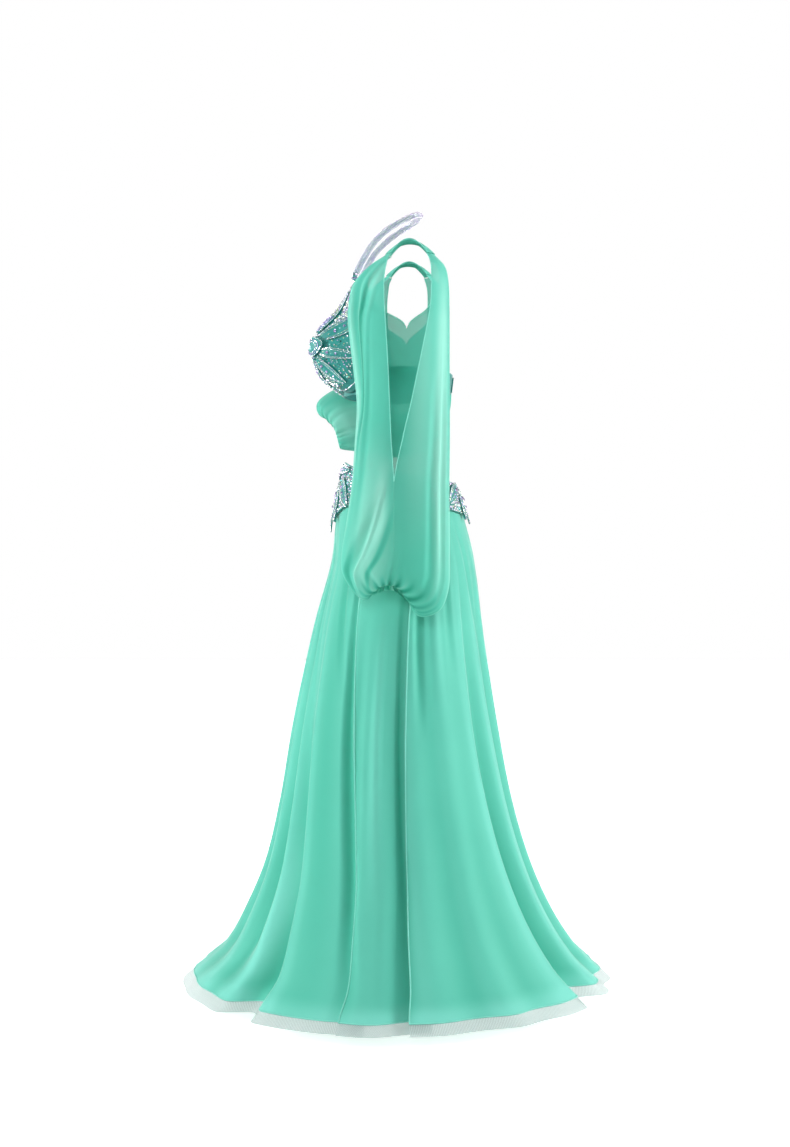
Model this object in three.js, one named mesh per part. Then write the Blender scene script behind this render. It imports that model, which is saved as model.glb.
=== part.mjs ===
// Two-piece belly dance costume in its worn form, with no wearer.
// Millimetres, +Z up, front faces -Y, the wearer's left is +X.
// The origin is the centre of the waist, level with the top of the belt's front.
import * as THREE from 'three';

// ---------- Driving dimensions ----------
const CHIFFON = 1.2; // wall of the chiffon pieces
const SATIN = 2; // wall of the band, gore, belt and cuffs
const CUP_WALL = 3; // wall of a moulded cup
const GORE_WALL = 2.4; // wall of the bridge between the cups
const BRAID_WALL = 1.4; // wall of the stiff hem braid
const SEAM = 0.4; // room left between two pieces at a seam
const APPLIQUE_SEAT = 1.1; // room under an applique on a curved piece
const LAP = { top: 2, low: 7 }; // how far a lapped panel's edge lies from the skirt's own surface
const CLOTH_HEM = -908; // lower edge of the chiffon
const BRAID_HEM = -925; // lower edge of the hem braid
const BRAID_FLARE = 5; // how far the braid kicks out past the skirt's slope
const BELT_LIFT = 2.6; // inner face of the belt from the skirt's surface
const APPLIQUE = 2; // thickness of an applique at its edge
const APPLIQUE_CROWN = 1.2; // how much thicker it is along its middle
const CUP_CENTRE_X = 76;
const CUP_APEX_Z = 199;
const CUP_REACH = { inward: 66, outward: 60, up: 113, down: 80 };
const CUP_HEIGHT = 55; // how far the point of a cup stands off the ribs
const CUP_RIM_LIFT = 8.8; // outer edge of a cup from the ribs
const CUP_TOP_NARROWING = 0.38;
const CUP_POINT = { share: 0.5, sharp: 3.2 }; // how far the point of a cup spreads and how fast it falls
const GORE = { turn: 5, top: 212, bottom: 124 }; // degrees each side of centre front, and its edges
const HOOK = { turn: 5, top: 151, bottom: 125 }; // the same at centre back
const BAND_END = 0.15; // degrees from centre front and back to a band's end
const BELT_END = 0.1; // degrees from the side to the end of each belt piece
const LINK = { x: 75.5, y: -76, z: 322.25, across: 7, deep: 5, high: 10.3 }; // centre and radii
const ROPE_RADIUS = 6;
const ROPE_SIDES = 8;
const ROPE_STEPS = 40;
const ROLL = { arch: 22, pleat: 1.2, pleats: 3 }; // rise of a shoulder roll, and the pleats along it
const CUFF_HEIGHT = 13;
const CUFF_SIDES = 24;
const HIP_RADIUS = 140; // turns a length along the belt into an angle
const PANEL_COLUMN = 3.6; // degrees of skirt for each column of points
const SLEEVE_COLUMNS = 12;
const VALLEYS_FROM = -130; // where the valleys between the flutes begin
const VALLEY_GROWTH = 1.4; // how they deepen on the way down
const VALLEYS_SPREAD = 0.8; // share of the way down where some of them open out again

// ---------- Tables ----------
/** Rows of numbers as objects with the named columns. */
function table(columns, rows) {
  const names = columns.split(' ');
  return rows.map((row) => Object.fromEntries(names.map((name, i) => [name, row[i]])));
}

// Skirt outline at each height: front, back and half the width.
const SKIRT = table('z front back half', [
  [0, -91, 91, 120],
  [-60, -104, 106, 144],
  [-104, -112, 120, 157],
  [-176, -119, 138, 173],
  [-279, -146, 151, 192],
  [-349, -162, 160, 208],
  [-475, -189, 180, 240],
  [-606, -213, 206, 276],
  [-711, -238, 237, 308],
  [-795, -273, 274, 339],
  [-860, -310, 315, 367],
  [-900, -354, 352, 386],
  [-925, -378, 375, 402],
]);
// Valleys between the flutes: where each one runs, in degrees from centre front towards the left,
// and the share of its depth that it keeps at the hem.
const SKIRT_VALLEYS = table('top hem wide deep keeps', [
  [-6, -9, 8, 30, 0.2],
  [4, 12, 7, 26, 0.1],
  [15, 29, 7.5, 34, 0.12],
  [24, 45, 7.5, 46, 1],
  [108, 112, 13, 12, 1],
  [122, 130, 10, 9, 1],
  [135, 154, 8, 44, 1],
  [155, 171, 7, 32, 0.4],
  [178, 187, 8, 30, 0.15],
  [203, 203, 9, 40, 1],
  [221, 219, 8, 30, 0.5],
  [238, 235, 9, 22, 0.3],
  [252, 250, 11, 11, 1],
  [312, 304, 7.5, 36, 1],
  [328, 320, 8.5, 44, 0.3],
  [342, 336, 8, 32, 0.15],
]);
// Edges of the panels, in degrees: the front panel's side edge, the side panel's front edge
// and the back panel's front edge, which laps over the side panel.
const EDGES = table('z frontEdge sideEdge backEdge', [
  [-62, 59.7, 60, 96],
  [-180, 58.8, 60.6, 96.4],
  [-250, 58.6, 61.4, 96.5],
  [-300, 63, 63.4, 96.2],
  [-420, 70, 67.4, 95.6],
  [-550, 74, 70.6, 95],
  [-700, 78, 73.6, 94],
  [-800, 80, 74.4, 93.5],
  [-925, 82, 75.4, 93],
]);
const PANEL_HEIGHTS = [-62, -125, -190, -260, -340, -430, -520, -610, -700, -785, -855, CLOTH_HEM];
const SIDE_TUCK = 6; // degrees of side panel under the back panel
const HEM_TUCK = 12; // how much deeper that tucked edge lies at the hem

// Belt edges in degrees from centre front, the same on both sides.
const BELT = table('turn top bottom', [
  [0, 0, -104],
  [14, -2, -98],
  [30, -8, -84],
  [55, -16, -78],
  [90, -24, -80],
  [125, -32, -84],
  [155, -38, -92],
  [180, -41, -98],
]);

// Ribs under the bra, as an ellipse at each height.
const RIBS = table('z front back half', [
  [60, -93, 88, 122],
  [115, -95, 92, 129],
  [200, -99, 100, 139],
  [300, -84, 96, 150],
  [340, -70, 92, 155],
]);
// Under-band edges in degrees from centre front.
const BAND = table('turn low high', [
  [0, 116, 134],
  [40, 115, 136],
  [80, 114, 158],
  [115, 116, 160],
  [180, 122, 154],
]);

// Left sleeve, a station at each height: centre, reach outward, forward, inward and back,
// how far each of those sides drops, and the angles where the cloth ends at the slit and armhole.
const SLEEVE_FIELDS =
  'x y z bend out fore inn aft dropOut dropFore dropIn dropAft slitFore slitAft holeFore holeAft';
const LEFT_SLEEVE = table(SLEEVE_FIELDS, [
  [128, 20, 353, 0, 36, 42, 28, 44, 0, 0, 0, 0, 50, 43, 130, 130],
  [138, 20, 331, 0, 44, 72, 30, 62, 0, 0, 0, 0, 34, 36, 126, 126],
  [146, 18, 300, 0, 58, 96, 26, 70, 0, 0, 0, 0, 26, 34, 132, 130],
  [154, 17, 260, 0, 60, 103, 20, 72, 0, 0, 0, 0, 23, 32, 152, 152],
  [160, 15, 226, 0, 62, 101, 21, 74, 0, 0, 0, 0, 21, 28, 180, 180],
  [166, 10, 150, 0, 61, 87, 29.8, 79, 0, 0, 0, 0, 18, 18, 180, 180],
  [174, 4, 90, 0, 58, 75, 28, 85, 0, 0, 0, 0, 14, 12, 180, 180],
  [180, 0, 30, 0, 56, 74, 24, 89, 0, 0, 0, 0, 9, 5, 180, 180],
  [190, -7, -44, 0, 52, 72, 15, 95, 0, 0, 0, 0, 0, 0, 180, 180],
  [201, -7, -110, 0, 49, 81, 24, 95, 0, 0, 0, 0, 0, 0, 180, 180],
  [213, -8, -165, 0, 47, 88, 35.5, 96, 0, 0, 0, 0, 0, 0, 180, 180],
  [221, -11, -197, 0, 40, 82, 43, 97, -4, 2, 6, 24, 0, 0, 180, 180],
  [225, -14, -220, 0, 31, 54, 37, 84, -8, 16, 4, 40, 0, 0, 180, 180],
  [226, -16, -224, 0, 27, 35, 27, 50, -8, 14, 0, 42, 0, 0, 180, 180],
  [226, -17, -214, 0, 21.5, 25.5, 21.5, 25.5, 0, 0, 0, 0, 0, 0, 180, 180],
]);
// Right sleeve over a bent arm, written as a left sleeve and mirrored. bend turns the cloth's
// forward side up towards +Z as the forearm comes forward.
const RIGHT_SLEEVE = table(SLEEVE_FIELDS, [
  [128, 20, 353, 0, 36, 42, 28, 44, 0, 0, 0, 0, 50, 43, 130, 130],
  [138, 20, 331, 0, 44, 70, 30, 62, 0, 0, 0, 0, 34, 36, 126, 126],
  [148, 18, 300, 0, 58, 90, 28, 70, 0, 0, 0, 0, 26, 34, 132, 130],
  [160, 17, 262, 0, 60, 94, 26, 72, 0, 0, 0, 0, 23, 32, 152, 152],
  [176, 16, 228, 0, 58, 92, 36, 74, 0, 0, 0, 0, 21, 28, 180, 180],
  [198, 18, 186, 4, 54, 86, 61, 78, 0, 0, 0, 0, 18, 20, 180, 180],
  [224, 20, 150, 8, 52, 80, 89.8, 84, 0, 0, 0, 0, 14, 14, 180, 180],
  [248, 12, 122, 30, 50, 74, 84, 90, 0, 0, 0, 0, 10, 8, 180, 180],
  [262, -8, 104, 50, 50, 70, 70, 92, 0, 0, 0, 0, 0, 0, 180, 180],
  [266, -36, 94, 62, 50, 72, 60, 84, 0, 0, 0, 0, 0, 0, 180, 180],
  [264, -66, 87, 70, 52, 77, 52, 66, 0, 0, 0, 0, 0, 0, 180, 180],
  [258, -92, 81, 73, 48, 77, 46, 50, 8, 12, 6, 6, 0, 0, 180, 180],
  [253, -108, 73, 74, 38, 66, 36, 38, 10, 32, 10, 10, 0, 0, 180, 180],
  [251, -112, 69, 74, 29, 44, 28, 31, 8, 30, 9, 10, 0, 0, 180, 180],
  [250, -116, 66, 74, 21.5, 25.5, 21.5, 25.5, 0, 0, 0, 0, 0, 0, 180, 180],
]);
// Folds in a sleeve: angle at its first and last station, width, depth, and those stations.
const SLEEVE_FOLDS = table('first last wide deep from to', [
  [-62, -68, 15, 10, 0.5, 7],
  [-8, -78, 18, 8, 8, 12],
  [44, 40, 9, 5, 5, 12.5],
  [62, 58, 8, 5, 4, 12.5],
  [112, 118, 14, 6, 3, 12],
  [-128, -122, 16, 6, 4, 12],
]);
const GATHERS = { count: 6, deep: 2.2, from: 11 };

const ROPE_ROUTE = table('x y z', [
  [73, -73, 331.5],
  [69, -56, 364],
  [65, -39, 389],
  [59, -14, 412],
  [50, 12, 428],
  [32, 32, 439],
  [0, 40, 443],
]);

// Appliques on a cup, in shares of the cup's reach: base, tip, and width in mm.
const CUP_LEAVES = table('baseU baseV tipU tipV width', [
  [0.0, 0.22, 0.02, 0.86, 24],
  [0.24, 0.13, 0.78, 0.46, 24],
  [0.25, -0.1, 0.9, -0.28, 22],
  [0.1, -0.26, 0.38, -0.8, 22],
  [-0.14, -0.24, -0.44, -0.74, 22],
  [-0.25, 0.0, -0.88, 0.04, 25],
]);
const CUP_BOSS = { u: 0.0, v: -0.02, radius: 19, layer: 1 };

// Appliques on the belt: along the hip in mm from the centre line, height, and width.
const FRONT_LEAVES = table('baseA baseZ tipA tipZ width', [
  [0, -36, 0, -126, 36],
  [25, -38, 44, -108, 28],
  [-25, -38, -44, -108, 28],
  [50, -34, 94, -82, 27],
  [-50, -34, -94, -82, 27],
  [20, -14, 82, -17, 15],
  [-20, -14, -82, -17, 15],
]);
const BACK_LEAVES = table('baseA baseZ tipA tipZ width', [
  [0, -52, 0, -112, 32],
  [24, -52, 46, -104, 26],
  [-24, -52, -46, -104, 26],
  [46, -44, 100, -76, 26],
  [-46, -44, -100, -76, 26],
]);
const BELT_BOSSES = table('turn z radius', [
  [0, -18, 15],
  [92, -52, 15],
  [-92, -52, 15],
]);

// ---------- Finishes ----------
const finish = (color, roughness, metalness = 0) =>
  new THREE.MeshStandardMaterial({ color, roughness, metalness, side: THREE.DoubleSide });
const FINISHES = {
  chiffon: finish('#69cfb4', 0.7),
  satin: finish('#3aa99a', 0.45),
  braid: finish('#cfe3df', 0.5),
  crystal: finish('#b9c8d2', 0.15, 0.4),
};

// ---------- Reading the tables ----------
/** Value of one column at a place along another, on a smooth curve through the rows. */
function read(rows, key, at, name) {
  const sign = rows[rows.length - 1][key] > rows[0][key] ? 1 : -1;
  let i = 0;
  while (i < rows.length - 2 && sign * rows[i + 1][key] < sign * at) i += 1;
  const a = rows[i];
  const b = rows[i + 1];
  const before = rows[Math.max(i - 1, 0)];
  const after = rows[Math.min(i + 2, rows.length - 1)];
  const span = b[key] - a[key];
  const slopeA = (b[name] - before[name]) / (b[key] - before[key]);
  const slopeB = (after[name] - a[name]) / (after[key] - a[key]);
  const t = THREE.MathUtils.clamp((at - a[key]) / span, 0, 1);
  const t2 = t * t;
  const t3 = t2 * t;
  return (
    (2 * t3 - 3 * t2 + 1) * a[name] +
    (t3 - 2 * t2 + t) * slopeA * span +
    (3 * t2 - 2 * t3) * b[name] +
    (t3 - t2) * slopeB * span
  );
}

/** A smooth bump, 1 at 0 and 0 beyond plus and minus 1. */
const bump = (x) => (Math.abs(x) < 1 ? Math.cos((x * Math.PI) / 2) ** 2 : 0);
const ramp = THREE.MathUtils.smoothstep;
const mix = THREE.MathUtils.lerp;
const rad = THREE.MathUtils.degToRad;
const steps = (count) => Array.from({ length: count + 1 }, (_, i) => i / count);

// ---------- Surfaces ----------
/** Point on an ellipse of the table's outline, moved out square to it. */
function ringPoint(rows, turn, z, out) {
  const front = read(rows, 'z', z, 'front');
  const back = read(rows, 'z', z, 'back');
  const half = read(rows, 'z', z, 'half');
  const deep = (back - front) / 2;
  const s = Math.sin(rad(turn));
  const c = Math.cos(rad(turn));
  const square = Math.hypot(s / half, c / deep);
  return new THREE.Vector3(
    half * s + (out * s) / half / square,
    (front + back) / 2 - deep * c - (out * c) / deep / square,
    z,
  );
}

/** How deep the valleys between the flutes are here. */
function valleyDepth(turn, z) {
  const down = THREE.MathUtils.clamp((z - VALLEYS_FROM) / (CLOTH_HEM - VALLEYS_FROM), 0, 1);
  const spread = ramp(down, VALLEYS_SPREAD, 1);
  return SKIRT_VALLEYS.reduce((sum, valley) => {
    const from = turn - mix(valley.top, valley.hem, down);
    const away = THREE.MathUtils.euclideanModulo(from + 180, 360) - 180;
    const deep = valley.deep * down ** VALLEY_GROWTH * mix(1, valley.keeps, spread);
    return sum + deep * bump(away / valley.wide);
  }, 0);
}

const skirtPoint = (turn, z, out = 0) => ringPoint(SKIRT, turn, z, out - valleyDepth(turn, z));
const beltPoint = (turn, z, out = 0) => ringPoint(SKIRT, turn, z, BELT_LIFT + SATIN + out);

/** Height of a cup over the ribs, 1 at its point and 0 at its edge. */
function cupRise(s, up) {
  const fall = (at) => 1 / (1 + (at / CUP_POINT.share) ** CUP_POINT.sharp);
  const above = fall(s) - fall(1) * s;
  const below = Math.max(1 - s * s, 0) ** 0.75;
  return mix(below, above, ramp(up, -0.35, 0.45));
}

/** Point on the left cup: u and v run from -1 to 1 inside a circle, across and up. */
function cupPoint(u, v) {
  const s = Math.min(Math.hypot(u, v), 1);
  const up = s > 0 ? v / s : 0;
  const narrow = 1 - CUP_TOP_NARROWING * Math.max(up, 0) * s;
  const across = u > 0 ? CUP_REACH.outward : CUP_REACH.inward;
  const x = CUP_CENTRE_X + u * across * narrow;
  const z = CUP_APEX_Z + v * (v > 0 ? CUP_REACH.up : CUP_REACH.down);
  const turn = THREE.MathUtils.radToDeg(Math.asin(x / read(RIBS, 'z', z, 'half')));
  const ribs = ringPoint(RIBS, turn, z, 0);
  return new THREE.Vector3(x, ribs.y - CUP_RIM_LIFT - CUP_HEIGHT * cupRise(s, up), z);
}

/** Point on a sleeve: station counts down the arm, turn is 0 outside, + towards the back. */
function sleevePoint(rows, station, turn) {
  const stations = rows.map((row, i) => ({ ...row, i }));
  const at = (name) => read(stations, 'i', station, name);
  const c = Math.cos(rad(turn));
  const s = Math.sin(rad(turn));
  const across = c > 0 ? at('out') : at('inn');
  const ahead = s > 0 ? at('aft') : at('fore');
  const drop =
    c * c * (c > 0 ? at('dropOut') : at('dropIn')) +
    s * s * (s > 0 ? at('dropAft') : at('dropFore'));
  const square = Math.hypot(c / across, s / ahead);
  const fold = SLEEVE_FOLDS.reduce((sum, row) => {
    const t = (station - row.from) / (row.to - row.from);
    const fade = bump(2 * t - 1) ** 0.5;
    const away = turn - mix(row.first, row.last, THREE.MathUtils.clamp(t, 0, 1));
    return sum + (t > 0 && t < 1 ? row.deep * fade * bump(away / row.wide) : 0);
  }, 0);
  const near = ramp(station, GATHERS.from, rows.length - 2);
  const gather = GATHERS.deep * near * Math.cos(GATHERS.count * rad(turn));
  const out = gather - fold;
  const acrossNow = across * c + (out * c) / across / square;
  const backNow = ahead * s + (out * s) / ahead / square;
  const bend = rad(at('bend'));
  return new THREE.Vector3(
    at('x') + acrossNow,
    at('y') + backNow * Math.cos(bend) - drop * Math.sin(bend),
    at('z') - backNow * Math.sin(bend) - drop * Math.cos(bend),
  );
}

// ---------- Solids ----------
/** A closed shell between two grids of points with the same rows and columns. */
function shell(outer, inner, ring = false) {
  const across = outer[0].length;
  const down = outer.length;
  const points = [...outer.flat(), ...inner.flat()];
  const under = across * down;
  const faces = [];
  const quad = (a, b, c, d) => faces.push(a, b, c, a, c, d);
  const spot = (i, j) => i * across + (j % across);
  for (let i = 0; i < down - 1; i += 1) {
    for (let j = 0; j < (ring ? across : across - 1); j += 1) {
      const corners = [spot(i, j), spot(i + 1, j), spot(i + 1, j + 1), spot(i, j + 1)];
      quad(...corners);
      const [a, b, c, d] = corners.map((corner) => corner + under);
      quad(a, d, c, b); // the same diagonal as the outer face, so that the walls stay apart
    }
    if (!ring) {
      const left = [spot(i, 0), spot(i + 1, 0)];
      const right = [spot(i, across - 1), spot(i + 1, across - 1)];
      quad(left[0], left[0] + under, left[1] + under, left[1]);
      quad(right[1], right[1] + under, right[0] + under, right[0]);
    }
  }
  for (let j = 0; j < (ring ? across : across - 1); j += 1) {
    const top = [spot(0, j), spot(0, j + 1)];
    const low = [spot(down - 1, j), spot(down - 1, j + 1)];
    quad(top[0], top[1], top[1] + under, top[0] + under);
    quad(low[1], low[0], low[0] + under, low[1] + under);
  }
  const geometry = new THREE.BufferGeometry();
  const places = points.flatMap((p) => p.toArray());
  geometry.setAttribute('position', new THREE.Float32BufferAttribute(places, 3));
  geometry.setIndex(faces);
  if (volume(geometry) < 0) flip(geometry);
  geometry.computeVertexNormals();
  return geometry;
}

/** Six times the signed volume inside a closed mesh. */
function volume(geometry) {
  const place = geometry.getAttribute('position');
  const index = geometry.getIndex();
  const [a, b, c] = [new THREE.Vector3(), new THREE.Vector3(), new THREE.Vector3()];
  let sum = 0;
  for (let i = 0; i < index.count; i += 3) {
    [a, b, c].forEach((corner, k) => corner.fromBufferAttribute(place, index.getX(i + k)));
    sum += a.dot(b.cross(c));
  }
  return sum;
}

function flip(geometry) {
  const index = geometry.getIndex();
  for (let i = 0; i < index.count; i += 3) {
    const kept = index.getX(i);
    index.setX(i, index.getX(i + 1));
    index.setX(i + 1, kept);
  }
}

/** Outward direction at each point of a grid whose rows run down and columns turn to the left. */
function outward(grid, ring) {
  const across = grid[0].length;
  return grid.map((row, i) =>
    row.map((_, j) => {
      const above = grid[Math.max(i - 1, 0)][j];
      const below = grid[Math.min(i + 1, grid.length - 1)][j];
      const before = ring ? row[(j + across - 1) % across] : row[Math.max(j - 1, 0)];
      const after = ring ? row[(j + 1) % across] : row[Math.min(j + 1, across - 1)];
      const down = new THREE.Vector3().subVectors(below, above);
      return down.cross(new THREE.Vector3().subVectors(after, before)).normalize();
    }),
  );
}

/** A cloth wall whose outer face is the grid. */
function wall(grid, thick, ring = false) {
  const out = outward(grid, ring);
  const inner = grid.map((row, i) => row.map((p, j) => p.clone().addScaledVector(out[i][j], -thick)));
  return shell(grid, inner, ring);
}

/** Grid of points: at(down, across) with both shares from 0 to 1. */
const gridOf = (rows, columns, at) => steps(rows).map((v) => steps(columns).map((u) => at(v, u)));

/** Point of a surface at (a, b), moved out by lift along its own outward direction. */
function lifted(surface, a, b, lift) {
  const small = 0.002;
  const across = new THREE.Vector3().subVectors(surface(a + small, b), surface(a - small, b));
  const up = new THREE.Vector3().subVectors(surface(a, b + small), surface(a, b - small));
  return surface(a, b).addScaledVector(across.cross(up).normalize(), lift);
}

/** An applique on a surface: at(v, u) gives its place there and edge is 0 along its middle. */
function applique(surface, rows, columns, at, layer) {
  const low = APPLIQUE_SEAT + layer * (APPLIQUE + APPLIQUE_CROWN + SEAM);
  const place = (v, u, lift) => {
    const [a, b] = at(v, u);
    return lifted(surface, a, b, lift);
  };
  const crown = (v, u) => APPLIQUE_CROWN * (1 - (2 * u - 1) ** 2) * (1 - (2 * v - 1) ** 2);
  const outer = gridOf(rows, columns, (v, u) => place(v, u, low + APPLIQUE + crown(v, u)));
  const inner = gridOf(rows, columns, (v, u) => place(v, u, low));
  return shell(outer, inner);
}

/** A leaf from its base to its tip; scale turns a length in mm into the surface's own units. */
function leaf(surface, base, tip, width, scale) {
  const along = new THREE.Vector2((tip[0] - base[0]) / scale[0], (tip[1] - base[1]) / scale[1]);
  const side = new THREE.Vector2(along.y, -along.x).normalize();
  const at = (v, u) => {
    const half = Math.max((width / 2) * Math.sin(Math.PI * (0.1 + 0.88 * v) ** 0.85) ** 0.8, 1);
    const off = (2 * u - 1) * half;
    return [
      base[0] + (along.x * v + side.x * off) * scale[0],
      base[1] + (along.y * v + side.y * off) * scale[1],
    ];
  };
  return applique(surface, 6, 2, at, 0);
}

/** Place in a circle for a square grid with both shares from 0 to 1. */
function roundGrid(v, u) {
  const x = 2 * u - 1;
  const y = 1 - 2 * v;
  return [x * Math.sqrt(1 - (y * y) / 2), y * Math.sqrt(1 - (x * x) / 2)];
}

function boss(surface, centre, radius, scale, layer) {
  const at = (v, u) => {
    const [x, y] = roundGrid(v, u);
    return [centre[0] + x * radius * scale[0], centre[1] + y * radius * scale[1]];
  };
  return applique(surface, 4, 4, at, layer);
}

// ---------- Pieces ----------
const costume = new THREE.Group();

function add(name, geometry, material, mirrored = false) {
  const shape = mirrored ? geometry.clone().scale(-1, 1, 1) : geometry;
  if (mirrored) flip(shape);
  const mesh = new THREE.Mesh(shape, FINISHES[material]);
  mesh.name = name;
  costume.add(mesh);
}

const SIDES = [
  ['left', false],
  ['right', true],
];

/** A skirt panel and its hem braid, between two edges given in degrees at each height. */
function addPanel(name, from, to, out) {
  const span = Math.abs(to(CLOTH_HEM) - from(CLOTH_HEM));
  const columns = Math.round(span / PANEL_COLUMN);
  const row = (z, flare) =>
    steps(columns).map((u) => skirtPoint(mix(from(z), to(z), u), z, out(u, z) + flare));
  add(`skirt_${name}`, wall(PANEL_HEIGHTS.map((z) => row(z, 0)), CHIFFON), 'chiffon');
  const braid = [CLOTH_HEM - SEAM, (CLOTH_HEM + BRAID_HEM) / 2, BRAID_HEM];
  const flares = [0, BRAID_FLARE / 3, BRAID_FLARE];
  add(`hem_braid_${name}`, wall(braid.map((z, i) => row(z, flares[i])), BRAID_WALL), 'braid');
}

function addSkirt() {
  const edge = (name) => (z) => read(EDGES, 'z', z, name);
  const frontEdge = edge('frontEdge');
  const sideEdge = edge('sideEdge');
  const backEdge = edge('backEdge');
  const tucked = (z) => backEdge(z) + SIDE_TUCK;
  const lap = (z) => mix(LAP.top, LAP.low, ramp(-z, 110, 320));
  const tuckDepth = (z) => lap(z) + HEM_TUCK * ramp(-z, 300, -CLOTH_HEM);
  const flat = () => 0;
  addPanel('front', (z) => -frontEdge(z), frontEdge, flat);
  addPanel('side_left', sideEdge, tucked, (u, z) => mix(lap(z), -tuckDepth(z), ramp(u, 0.3, 0.85)));
  addPanel('side_right', (z) => 360 - tucked(z), (z) => 360 - sideEdge(z), (u, z) =>
    mix(-tuckDepth(z), lap(z), ramp(u, 0.15, 0.7)));
  addPanel('back', backEdge, (z) => 360 - backEdge(z), flat);
}

function addBelt() {
  const half = (from, to) =>
    gridOf(4, 26, (v, u) => {
      const turn = mix(from, to, u);
      const side = Math.abs(turn > 180 ? 360 - turn : turn);
      const [top, bottom] = ['top', 'bottom'].map((name) => read(BELT, 'turn', side, name));
      return beltPoint(turn, mix(top, bottom, v));
    });
  add('belt_front', wall(half(-90 + BELT_END, 90 - BELT_END), SATIN), 'satin');
  add('belt_back', wall(half(90 + BELT_END, 270 - BELT_END), SATIN), 'satin');
  const perMm = [THREE.MathUtils.radToDeg(1 / HIP_RADIUS), 1];
  const addLeaves = (rows, centre, name) =>
    rows.forEach((row, i) => {
      const base = [centre + row.baseA * perMm[0], row.baseZ];
      const tip = [centre + row.tipA * perMm[0], row.tipZ];
      add(`${name}_${i + 1}`, leaf(beltPoint, base, tip, row.width, perMm), 'crystal');
    });
  addLeaves(FRONT_LEAVES, 0, 'belt_front_leaf');
  addLeaves(BACK_LEAVES, 180, 'belt_back_leaf');
  BELT_BOSSES.forEach((row, i) => {
    const round = boss(beltPoint, [row.turn, row.z], row.radius, perMm, 0);
    add(`belt_boss_${i + 1}`, round, 'crystal');
  });
}

function addBra() {
  const perMm = [1 / CUP_REACH.outward, 1 / CUP_REACH.up];
  const cup = wall(gridOf(10, 10, (v, u) => cupPoint(...roundGrid(v, u))), CUP_WALL);
  const bandRow = (v) =>
    steps(16).map((u) => {
      const turn = mix(BAND_END, 180 - BAND_END, u);
      const [high, low] = ['high', 'low'].map((name) => read(BAND, 'turn', turn, name));
      return ringPoint(RIBS, turn, mix(high, low, v), SATIN);
    });
  const band = wall([bandRow(0), bandRow(1)], SATIN);
  SIDES.forEach(([side, mirrored]) => {
    add(`cup_${side}`, cup, 'satin', mirrored);
    CUP_LEAVES.forEach((row, i) => {
      const base = [row.baseU, row.baseV];
      const tip = [row.tipU, row.tipV];
      const shape = leaf(cupPoint, base, tip, row.width, perMm);
      add(`cup_leaf_${side}_${i + 1}`, shape, 'crystal', mirrored);
    });
    const { u, v, radius, layer } = CUP_BOSS;
    add(`cup_boss_${side}`, boss(cupPoint, [u, v], radius, perMm, layer), 'crystal', mirrored);
    add(`band_${side}`, band, 'satin', mirrored);
    const link = new THREE.SphereGeometry(1, 12, 8);
    link.scale(LINK.across, LINK.deep, LINK.high).translate(LINK.x, LINK.y, LINK.z);
    add(`halter_link_${side}`, link, 'crystal', mirrored);
  });
  const plate = (rows, centre, size, out) =>
    gridOf(rows, 4, (v, u) => {
      const turn = centre + mix(-size.turn, size.turn, u);
      return ringPoint(RIBS, turn, mix(size.top, size.bottom, v), out);
    });
  add('gore', wall(plate(3, 0, GORE, SATIN + SEAM + GORE_WALL), GORE_WALL), 'satin');
  add('back_hook', wall(plate(2, 180, HOOK, 2 * SATIN + SEAM), SATIN), 'satin');
}

function addHalter() {
  const left = ROPE_ROUTE.map((p) => new THREE.Vector3(p.x, p.y, p.z));
  const right = left.slice(0, -1).reverse();
  const mirror = (p) => new THREE.Vector3(-p.x, p.y, p.z);
  const route = new THREE.CatmullRomCurve3([...left, ...right.map(mirror)]);
  const corner = (t) => new THREE.Vector2(Math.cos(2 * Math.PI * t), Math.sin(2 * Math.PI * t));
  const corners = steps(ROPE_SIDES).slice(1).map((t) => corner(t).multiplyScalar(ROPE_RADIUS));
  const options = { steps: ROPE_STEPS, extrudePath: route };
  add('halter_rope', new THREE.ExtrudeGeometry(new THREE.Shape(corners), options), 'crystal');
}

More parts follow.
